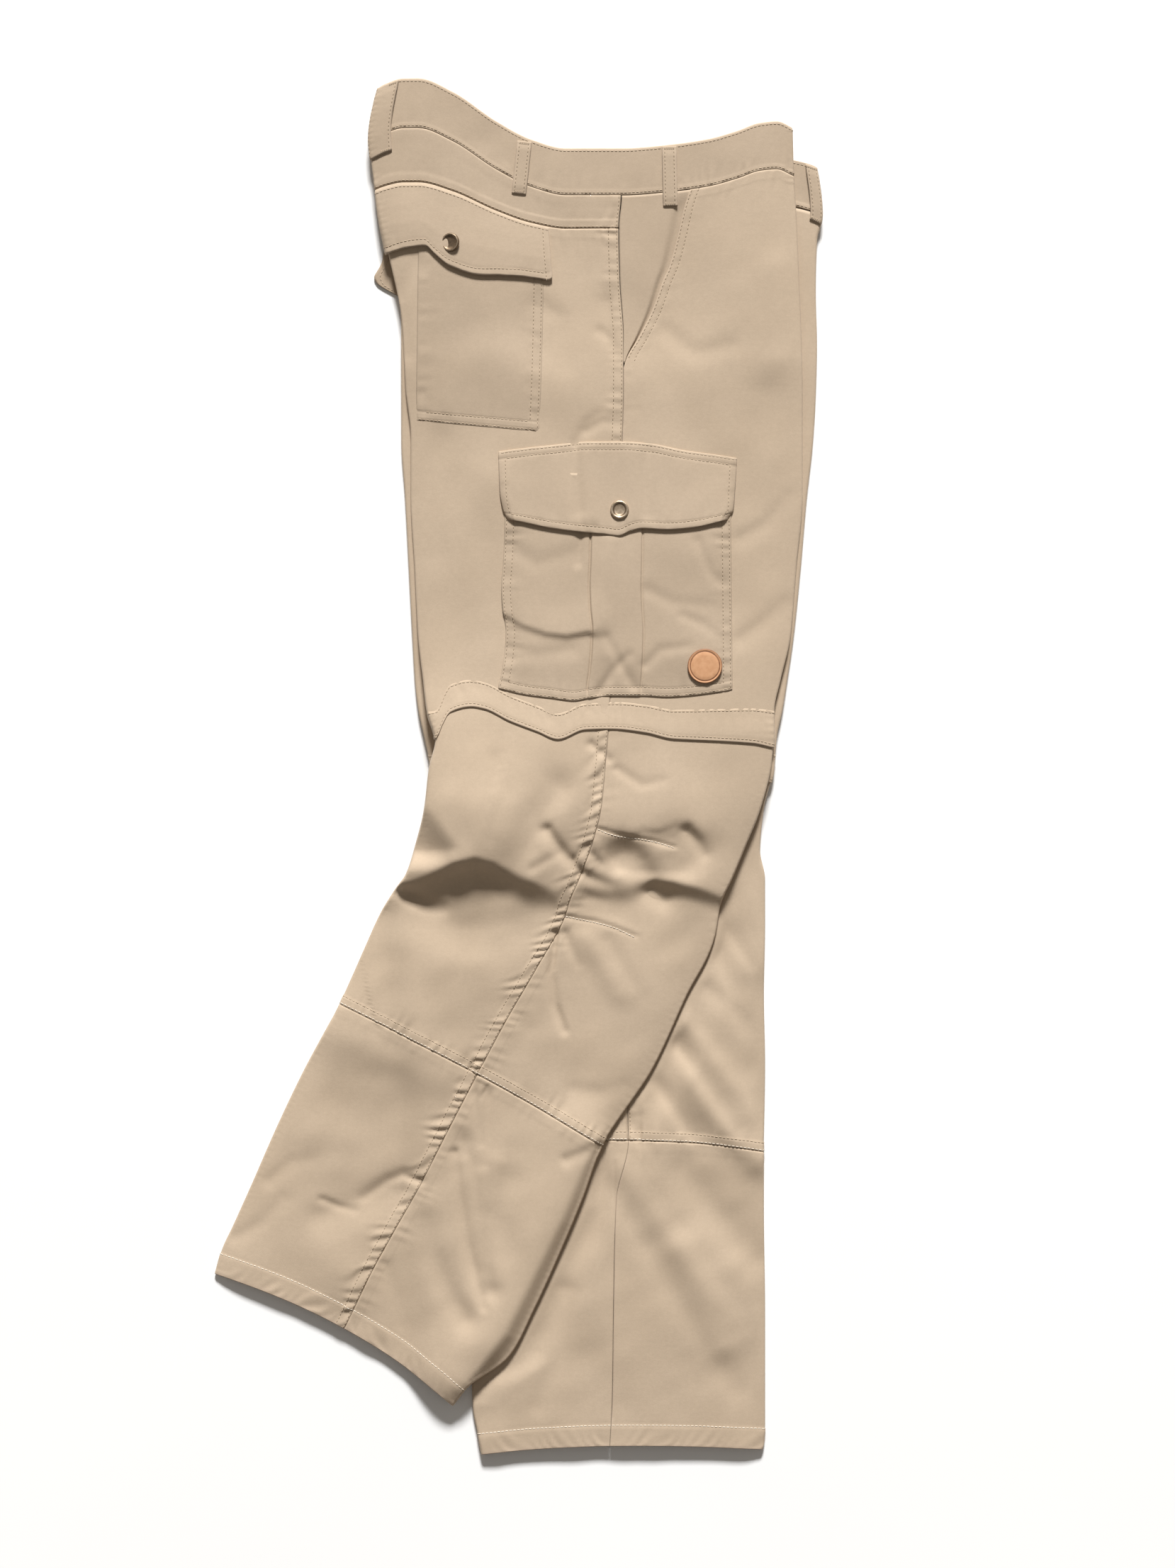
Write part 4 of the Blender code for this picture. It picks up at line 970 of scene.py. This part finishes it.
# Zip tapes and the strips over them
def zip_shells(side, leg, tape, cover, outward, columns, back_columns, inner):
    """The tape and its cover, each once round the leg; tape and cover give high and low."""
    def ring(v):
        front = half_grid(leg, 1, v, 0, columns, inner)
        back = half_grid(leg, -1, v, 0, back_columns, inner)
        return np.concatenate([front[:, ::-1], back[:, 1:]], axis=1)

    shell("zip_" + side, ring(steps(*tape)), outward, 1.0, INSIDE_CANVAS_PAINTED_SHADE)
    strip = ring(steps(*cover, 1.1))
    strip = relief(strip, outward, "top", lambda along, inward: 0.12 + 1.0 * ease(inward / 22))
    strip = relief(strip, outward, "top", summed(felled(0.22, 2.4, 0.0), groove(1.8, 0.12)))
    strip = relief(strip, outward, "bottom", groove(3.0, 0.2))
    row_of_stitches(strip, outward, "top", 1.8)
    row_of_stitches(strip, outward, "bottom", 3.0)
    shell("zip_cover_" + side, strip, outward, rub=(("bottom", 0.8, 0.5),))


zip_shells("right", RIGHT, (593.7, 585.3), (604, 582), -1, FRONT_COLUMNS, BACK_COLUMNS, HIDDEN)
zip_shells("left", LEFT, (556.7, 548.3), (568, 545), 1, 20, 20, 40)

# Slant pocket facing
FACING_TOP = 1019.7
facing_v = steps(FACING_TOP, 884)
start = slant_start(facing_v)
seam_x = right_plan(0 * facing_v, facing_v)[0]
slant_x = right_plan(start, facing_v)[0]
tuck = 1 + np.minimum(1, 14 / (slant_x - seam_x))
share = np.linspace(0.01, 1, 40)[None, :] * tuck[:, None]
x, y = right_plan(share * start[:, None], facing_v[:, None])
deeper = (0.4 + 1.6 * ease((FACING_TOP - facing_v) / 16))[:, None]
dip = deeper * ease((share - 0.8) / 0.15)
shell("pocket_facing_right", np.stack([x, y, right_top(x, y) - dip], axis=-1), 1, cloth=UPPER_CANVAS_PAINTED_SHADE)


def filled(left, right, bottom, top, across_shares, down_shares):
    """Grid of places between a left and a right edge, given as x at each y, and two ends."""
    guess = left[0][1] + across_shares * (right[0][1] - left[0][1])
    low = curve(bottom, guess)[None, :]
    high = curve(top, guess)[None, :]
    y = high + down_shares[:, None] * (low - high)
    x_left = curve(left, y)
    x_right = curve(right, y)
    return x_left + across_shares[None, :] * (x_right - x_left), y


def laid(name, x, y, lift, edges, wall, seed, pucker, rub=()):
    """A piece sewn onto the right leg: its rolled edges, grooves and stitch rows included."""
    grid = np.stack([x, y, right_top(x, y) + lift], axis=-1)
    for edge, rows in edges:
        draws = felled(1.0, seed, 0.0)
        grid = relief(grid, 1, edge, lambda along, inward: rolled(0.35)(along, inward)
                      + pucker * draws(along, inward))
        for distance in rows:
            grid = relief(grid, 1, edge, groove(distance))
    for edge, rows in edges:
        run = lengths(grid, edge)[0].max()
        for distance in rows:
            row_of_stitches(grid, 1, edge, distance, distance, run - distance)
    shell(name, grid, 1, wall, UPPER_CANVAS_PAINTED_SHADE, rub)


def both_close(count, length, band=10.0):
    """Shares that lie closer together at both ends."""
    near = np.arange(0, band, SEAM_STEP) / length
    far = 1 - near[::-1]
    return np.concatenate([near, np.linspace(near[-1], far[0], count + 2)[1:-1], far])


# Right back patch pocket
x, y = filled(((829, 164), (970, 166)), ((829, 264), (880, 266), (970, 268)),
              ((160, 838), (200, 834), (235, 831), (268, 828)),
              ((160, 985), (180, 984), (210, 976), (268, 966)),
              both_close(38, 102), both_close(52, 145))
laid("back_pocket_right", x, y, 0.4,
     (("start", ()), ("end", (1.6, 7.8)), ("bottom", (1.6, 7.8))), 1.0, 2.7, 0.2)

# Right back pocket flap
BACK_FLAP_LOWER = (
    (127, 950), (137, 951), (151, 953), (165, 954), (171, 950), (183, 944), (200, 942), (229, 947),
    (252, 950), (268, 950), (276, 956),
)
FLAP_ROWS = 34
FLAP_COLUMNS = 80
FLAP_TOP = 992
FLAP_START = 0.315  # share of the way from the outseam to the back fold


def flap_ring(v):
    return half_grid(RIGHT, -1, v, FLAP_START, FLAP_COLUMNS, 2)


column_low = curve(BACK_FLAP_LOWER, flap_ring([FLAP_TOP])[0, :, 0])
share = np.linspace(0, 1, FLAP_ROWS)
rows = []
for down in share:
    ring = flap_ring(FLAP_TOP + down * (column_low - FLAP_TOP))
    rows.append(np.diagonal(ring).T[:FLAP_COLUMNS + 6])
flap = np.array(rows)
raised_by = np.interp(share, (0, 0.3, 0.6, 1), (0.35, 1.6, 2.6, 2.9))[:, None]
flap = moved_out(flap, np.broadcast_to(raised_by, flap.shape[:2]), -1)
draws = felled(1.0, 0.8, 0.0)
flap = relief(flap, -1, "bottom", lambda along, inward: groove(5.5, 0.25)(along, inward)
              + 0.12 * draws(along, inward))
flap = relief(flap, -1, "start", groove(5.0, 0.25))
row_of_stitches(flap, -1, "bottom", 5.5, 5.0)
row_of_stitches(flap, -1, "start", 5.0)
row_of_stitches(flap, -1, "top", 2.0)
shell("back_flap_right", flap, -1, 1.5, UPPER_CANVAS_PAINTED_SHADE, (("bottom", 1.0, 0.6), ("start", 1.0, 0.6)))

# Cargo pocket with a box pleat
CARGO_LEFT = (
    (611, 231), (621, 231), (634, 233.5), (651, 236), (668, 237), (685, 234.6), (703, 233.5),
    (726, 235), (754, 236), (795, 237),
)
CARGO_RIGHT = ((611, 420), (621, 420), (754, 419), (795, 418))
CARGO_BOTTOM = (
    (231, 621), (252, 616), (275, 613), (292, 611), (304, 613), (321, 615), (347, 615), (367, 614),
    (384, 615), (401, 617), (420, 620),
)
CARGO_TOP = ((231, 796), (420, 792))
PLEAT_LEFT = 0.385
PLEAT_RIGHT = 0.605
POCKET_CREASES = (
    (1.6, 2.6, 20, 2.2, (232, 684), (252, 673), (270, 667), (286, 665), (303, 668)),
    (-1.0, -0.6, 4, 5, (240, 652), (262, 648), (290, 652)),
    (-1.6, -1.0, 1.6, 3, (299.5, 757), (297, 735), (296, 722)),
    (-1.3, -0.8, 2.5, 3, (312, 618), (324, 636), (336, 648)),
    (-1.2, -0.8, 2.5, 3, (340, 622), (330, 640), (318, 662)),
    (-1.0, -0.5, 3, 3, (350, 640), (362, 652), (385, 655)),
    (-0.8, -0.4, 4, 4, (352, 700), (372, 690), (400, 688)),
    (-0.9, -0.5, 5, 5, (240, 735), (262, 722), (290, 730)),
    (1.2, 0.8, 5, 5, (322, 740), (316, 690), (320, 650)),
    (-0.8, -0.5, 3, 3, (392, 740), (402, 715), (412, 705)),
    (-0.7, -0.4, 3, 3, (380, 680), (398, 672), (412, 660)),
)


def cargo_lift(share, down):
    """Height of the cargo pocket over the leg: a box that flattens at its edges, with its pleat."""
    side = ease(np.minimum(share, 1 - share) / 0.09)
    low = ease((1 - down) / 0.2)
    mouth = 0.3 + 0.7 * ease((down - 0.1) / 0.3)
    pleat = (ease((share - PLEAT_LEFT + 0.004) / 0.008)
             * ease((PLEAT_RIGHT + 0.004 - share) / 0.008))
    edges = (1.1 * np.exp(-((share - PLEAT_LEFT + 0.005) / 0.005) ** 2)
             + 0.7 * np.exp(-((share - PLEAT_RIGHT - 0.005) / 0.005) ** 2))
    box = 1.9 * side * low + 0.9 * pleat * (0.35 + 0.65 * low)
    return 1.15 + box * mouth - edges * ease((1 - down) / 0.04)


across_shares = np.concatenate([
    np.arange(0, 0.05, 0.005),
    *(np.linspace(low, high, count)[:-1] for low, high, count in (
        (0.05, 0.37, 34), (0.37, 0.40, 14), (0.40, 0.59, 20), (0.59, 0.62, 14), (0.62, 0.95, 34))),
    np.arange(0.95, 1.0001, 0.005)])
down_shares = np.concatenate([np.linspace(0, 0.94, 84)[:-1], np.linspace(0.94, 1, 13)])
x, y = filled(CARGO_LEFT, CARGO_RIGHT, CARGO_BOTTOM, CARGO_TOP, across_shares, down_shares)
lift = cargo_lift(across_shares[None, :], down_shares[:, None]) + folds(POCKET_CREASES, x, y)
laid("cargo_pocket_right", x, y, lift,
     (("start", (1.6, 7.4)), ("end", (1.6, 7.4)), ("bottom", (1.6, 7.4))), 1.0, 4.2, 0.26)

# Cargo flap
CARGO_FLAP_LEFT = (
    (745, 240), (758, 238), (764, 235), (780, 232), (811, 231),
)
CARGO_FLAP_RIGHT = (
    (745, 416), (758, 417), (765, 421), (783, 422.5), (806, 424),
)
CARGO_FLAP_BOTTOM = (
    (231, 760), (240, 757.5), (252, 755), (275, 750), (298, 747), (315, 745.5), (328, 744),
    (338, 748), (347, 750), (367, 749), (390, 751), (407, 755), (424, 760),
)
CARGO_FLAP_TOP = (
    (231, 811), (258, 815), (283, 818), (306, 820.5), (330, 820.5), (351, 819), (376, 813.6),
    (402, 809.6), (424, 805.6),
)
FLAP_CREASES = (
    (-1.3, -0.9, 3, 5, (294, 818), (293, 800), (297, 765)),
    (1.0, 1.0, 5, 5, (303, 815), (305, 760)),
    (-1.1, -0.8, 4, 4, (352, 815), (350, 790), (352, 762)),
    (0.7, 0.7, 6, 6, (340, 812), (340, 760)),
)
flap_shares = both_close(78, 192)
flap_down = both_close(24, 64, 9.0)
x, y = filled(CARGO_FLAP_LEFT, CARGO_FLAP_RIGHT, CARGO_FLAP_BOTTOM, CARGO_FLAP_TOP,
              flap_shares, flap_down)
inside = ease(np.minimum(flap_shares, 1 - flap_shares) / 0.05 + 0.3)
over_pocket = flap_down[:, None] * inside[None, :]
lift = 1.1 + 3.8 * over_pocket + folds(FLAP_CREASES, x, y)
laid("cargo_flap_right", x, y, lift,
     (("start", (5.6,)), ("end", (5.6,)), ("bottom", (5.8,)), ("top", (1.6, 6.4))), 1.5, 1.4, 0.2,
     rub=(("bottom", 1.0, 0.6), ("start", 1.0, 0.4), ("end", 1.0, 0.4)))

# Left back flap: its inside shows under the back edge
LEFT_FLAP = (
    ((268, 992), (200, 1014), (140, 1010)),
    ((268, 975), (195, 985), (137, 970)),
    ((268, 962), (190, 960), (130, 955)),
    ((268, 952), (190, 945), (132, 950)),
    ((262, 950), (192, 939), (150, 939)),
)


def refined(points, rows, columns):
    """A finer grid through a coarse one."""
    points = np.array(points, float)
    by_row = np.linspace(0, points.shape[0] - 1, rows)
    by_column = np.linspace(0, points.shape[1] - 1, columns)
    keys_r = np.arange(points.shape[0])
    keys_c = np.arange(points.shape[1])
    wide = np.array([[curve(list(zip(keys_c, line[:, k])), by_column) for k in range(2)]
                     for line in points])
    tall = np.array([[curve(list(zip(keys_r, wide[:, k, j])), by_row) for j in range(columns)]
                     for k in range(2)])
    return np.transpose(tall, (2, 1, 0))


flat = refined(LEFT_FLAP, 40, 60)
grid = np.concatenate([flat, np.full((*flat.shape[:2], 1), 1.4)], axis=2)
row_of_stitches(grid, -1, "bottom", 5.0)
row_of_stitches(grid, -1, "end", 5.0)
# The flap's darker canvas is painted shade
shell("back_flap_left", grid, -1, 1.2, INSIDE_CANVAS_PAINTED_SHADE)


# Belt loops
LOOP_WALL = 1.0
LOOP_ROWS = 44


def finish_loop(name, grid, outward):
    """Both long edges stitched, both ends held by a close bar of stitches."""
    for edge in ("start", "end"):
        grid = relief(grid, outward, edge, rolled(0.35))
        row_of_stitches(grid, outward, edge, 2.2)
    for edge in ("top", "bottom"):
        for distance in (1.2, 1.7, 2.2):
            row_of_stitches(grid, outward, edge, distance, 1.0, 10.5, "tone", 1.6)
    rub = [(edge, 0.7, 0.7) for edge in ("start", "end", "bottom")]
    shell(name, grid, outward, LOOP_WALL, UPPER_CANVAS_PAINTED_SHADE, rub)


def loop(name, top, bottom, width=11.7):
    """A belt loop on the waistband, from the place of its top to that of its bottom."""
    top = np.array(top, float)
    bottom = np.array(bottom, float)
    down = (bottom - top) / np.linalg.norm(bottom - top)
    side = np.array([-down[1], down[0]])
    share = np.linspace(0, 1, LOOP_ROWS)[:, None]
    place = np.linspace(-0.5, 0.5, 14)[None, :]
    x = top[0] + (bottom[0] - top[0]) * share + side[0] * place * width
    y = top[1] + (bottom[1] - top[1]) * share + side[1] * place * width
    lift = 0.1 + 0.7 * ease(np.minimum(share, 1 - share) * 6) + LOOP_WALL + 0 * place
    finish_loop(name, np.stack([x, y, right_top(x, y) + lift], axis=-1), 1)


def fold_loop(name, grid):
    """A belt loop at the fold of the waistband, standing off it in the middle."""
    share = np.linspace(0, 1, len(grid))
    lifts = LOOP_WALL + np.interp(share, (0, 0.15, 0.4, 0.75, 1), (0.4, 1.2, 1.4, 1.1, 0.4))
    finish_loop(name, moved_out(grid, np.broadcast_to(lifts[:, None], grid.shape[:2]), -1), -1)


loop("loop_side", (252, 1063.5), (247.5, 1021))
loop("loop_front", (369, 1059.5), (370, 1011))
grid = half_grid(RIGHT, -1, np.linspace(1057, 1009, LOOP_ROWS), 0.925, 10, 2)
fold_loop("loop_back", grid[:, :14])
grid = half_grid(LEFT, 1, np.linspace(1057, 1012, LOOP_ROWS), 0.9, 2, 60)
fold_loop("loop_front_left", grid[:, 7:20])


# Snap caps and the plain leather patch
def lathe(name, place, up, profile, replaced, bands):
    """A round form from radius and height, square to up; bands gives each ring its finish."""
    up = Vector(up).normalized()
    turn = np.array(Vector((0, 0, 1)).rotation_difference(up).to_matrix())
    count = 64
    angles = np.linspace(0, 2 * math.pi, count, endpoint=False)
    ring = np.stack([np.cos(angles), np.sin(angles), np.ones(count)], axis=1)
    points = np.concatenate([ring * (radius, radius, height) for radius, height in profile])
    faces = []
    for i in range(len(profile) - 1):
        for k in range(count):
            a = i * count + k
            b = i * count + (k + 1) % count
            faces.append((a, b, b + count, a + count))
    made = mesh_object(name, points @ turn.T + place, faces, bands[0][1])
    index = np.zeros(len(faces), np.int32)
    for number, (first, material) in enumerate(bands):
        if number:
            made.data.materials.append(material)
        index[first * count:] = number
    made.data.polygons.foreach_set("material_index", index)
    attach(made, "root")
    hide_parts(replaced)


def spot_on(name, x, y):
    """The point of a piece's grid nearest to a place, and the direction square to the cloth."""
    grid = pieces[name][1]
    away = (grid[..., 0] - x) ** 2 + (grid[..., 1] - y) ** 2 - 0.001 * grid[..., 2]
    i, j = np.unravel_index(np.argmin(away), away.shape)
    around = normals(grid)[max(i - 3, 0):i + 4, max(j - 3, 0):j + 4]
    around = around.reshape(-1, 3).mean(axis=0)
    return grid[i, j], around * np.sign(around[2])


SNAP = (
    (7.5, -0.4), (7.5, 1.0), (7.3, 1.5), (6.9, 1.8), (6.4, 1.9), (5.9, 1.75), (5.4, 1.4),
    (4.9, 1.05), (4.3, 0.8), (3.6, 0.65), (2.6, 0.55), (1.4, 0.5), (0.05, 0.5),
)
SNAP_BANDS = ((0, BRASS), (6, BRASS_PATINA_AND_SHADE), (8, BRASS))
# Back snap cap: dark brass as painted shade over the cap, with one ring of the lighter brass on the
# rim as a painted glint
BACK_SNAP_SHADE_AND_GLINT_BANDS = ((0, BRASS_PATINA_AND_SHADE), (3, BRASS), (4, BRASS_PATINA_AND_SHADE))
PATCH = (
    (14.0, -0.3), (14.0, 0.9), (13.8, 1.25), (13.3, 1.4), (12.7, 1.35), (12.3, 1.1), (11.9, 1.05),
    (11.4, 1.3), (10.9, 1.45), (8.0, 1.5), (4.0, 1.52), (0.05, 1.53),
)
PATCH_BANDS = ((0, LEATHER_RIM), (3, LEATHER), (5, LEATHER_RIM), (7, LEATHER))

spot, up = spot_on("cargo_flap_right", 328.6, 766.2)
lathe("cap_cargo_flap", spot + up * 0.1, up, SNAP, "snap_cargo_flap", SNAP_BANDS)
# The back cap's dark finish is painted shade, and its lighter rim ring is a painted glint
spot, up = spot_on("back_flap_right", 193, 980)
lathe("cap_back_flap", spot + up * 0.1, up + np.array((-0.35, -0.05, 0)), SNAP,
      "snap_back_flap", BACK_SNAP_SHADE_AND_GLINT_BANDS)
spot, up = spot_on("cargo_pocket_right", 397.3, 639.4)
lathe("round_patch", spot + up * 0.2, up, PATCH, "patch_round", PATCH_BANDS)


# Knee darts: sewn folds from the outseam towards the front
def dart(places):
    places = np.array(places, float)
    keys = np.arange(len(places))
    fine = np.linspace(0, len(places) - 1, 60)
    x = curve(list(zip(keys, places[:, 0])), fine)
    y = curve(list(zip(keys, places[:, 1])), fine)
    line = np.stack([x, y, right_top(x, y) + 0.25], axis=1)
    sew(line, np.broadcast_to((0, 0, 1.0), line.shape).copy(), "pale", 2.8)


dart(((311, 507.5), (321, 503.5), (332, 501), (345, 499.5), (358, 497), (374, 492)))
dart(((285, 437), (295, 435), (309, 432), (324, 428), (341, 420)))

sewn_mesh("stitching", "tone", THREAD)
sewn_mesh("pale_stitching", "pale", PALE_THREAD)

# Stage, light and camera
bpy.ops.mesh.primitive_plane_add(size=12, location=(0, 0, -0.0004))
floor = bpy.context.object
floor.name = "floor"
PAPER = plain_material("paper", (0.90, 0.90, 0.895), (0.91, 0.91, 0.905), 3.0, 0.9)
floor.data.materials.append(PAPER)

world = bpy.data.worlds.new("studio")
bpy.context.scene.world = world
world.use_nodes = True
sky = world.node_tree.nodes["Background"]
socket(sky, "Color", (1.0, 0.93, 0.85, 1))
socket(sky, "Strength", 0.22)


def area(name, place, aim, size, power):
    light = bpy.data.lights.new(name, "AREA")
    light.shape = "RECTANGLE"
    light.size, light.size_y = size
    light.energy = power
    made = bpy.data.objects.new(name, light)
    made.location = place
    made.rotation_euler = (Vector(aim) - Vector(place)).to_track_quat("-Z", "Y").to_euler()
    bpy.context.scene.collection.objects.link(made)


area("key", (0.7, 18.3, 10.2), (0, -0.1, 0), (4.4, 3.4), 8700)

SENSOR = 24.0
DISTANCE = 3.0
VIEW_HEIGHT = 1.2719
camera_data = bpy.data.cameras.new("camera")
camera_data.sensor_fit = "VERTICAL"
camera_data.sensor_height = SENSOR
camera_data.lens = SENSOR * DISTANCE / VIEW_HEIGHT
camera = bpy.data.objects.new("camera", camera_data)
camera.location = (0.0545, -0.01355, DISTANCE)
bpy.context.scene.collection.objects.link(camera)
bpy.context.scene.camera = camera
bpy.context.scene.view_settings.view_transform = "Standard"

# Cloth: width and length of each cut in millimetres, the share of that rectangle it fills,
# and what it lies on
CUTS = {
    "waistband_right": (452, 45, 0.81, ("cloth_waistband_left",)),
    "waistband_left": (481, 45, 0.81, ("floor",)),
    "yoke_right": (262, 44, 0.76, ("cloth_yoke_left",)),
    "yoke_left": (259, 44, 0.74, ("floor",)),
    "thigh_front_right": (299, 486, 0.71, ("cloth_thigh_front_left",)),
    "thigh_back_right": (343, 510, 0.67, ("cloth_thigh_back_left",)),
    "thigh_front_left": (304, 514, 0.74, ("floor",)),
    "thigh_back_left": (363, 556, 0.68, ("floor",)),
    "knee_front_right": (271, 359, 0.84, ("cloth_knee_front_left",)),
    "knee_back_right": (327, 320, 0.74, ("cloth_knee_back_left", "floor")),
    "knee_front_left": (237, 304, 0.93, ("floor",)),
    "knee_back_left": (318, 302, 0.89, ("floor",)),
    "shin_front_right": (273, 249, 0.89, ("cloth_shin_back_left", "floor")),
    "shin_back_right": (259, 244, 0.93, ("floor",)),
    "shin_front_left": (255, 248, 0.95, ("floor",)),
    "shin_back_left": (267, 249, 0.88, ("floor",)),
    "zip_right": (599, 12, 0.71, ("cloth_thigh_front_right",)),
    "zip_left": (561, 10, 0.84, ("floor",)),
    "zip_cover_right": (613, 30, 0.74, ("cloth_zip_right",)),
    "zip_cover_left": (574, 24, 0.96, ("cloth_zip_left",)),
    "pocket_facing_right": (68, 160, 0.57, ("cloth_thigh_front_left",)),
    "back_pocket_right": (104, 148, 0.95, ("cloth_thigh_back_right",)),
    "back_flap_right": (159, 64, 0.78, ("cloth_back_pocket_right",)),
    "back_flap_left": (138, 83, 0.76, ("floor",)),
    "cargo_pocket_right": (194, 186, 0.94, ("cloth_thigh_front_right", "cloth_thigh_back_right")),
    "cargo_flap_right": (195, 77, 0.85, ("cloth_cargo_pocket_right",)),
    "loop_back": (25, 59, 0.88, ("cloth_waistband_right",)),
    "loop_side": (12, 43, 0.98, ("cloth_waistband_right",)),
    "loop_front": (12, 49, 0.98, ("cloth_waistband_right",)),
    "loop_front_left": (13, 47, 0.86, ("cloth_waistband_left",)),
}
for name, (width, length, filled_share, under) in CUTS.items():
    flat = (width * MM, length * MM)
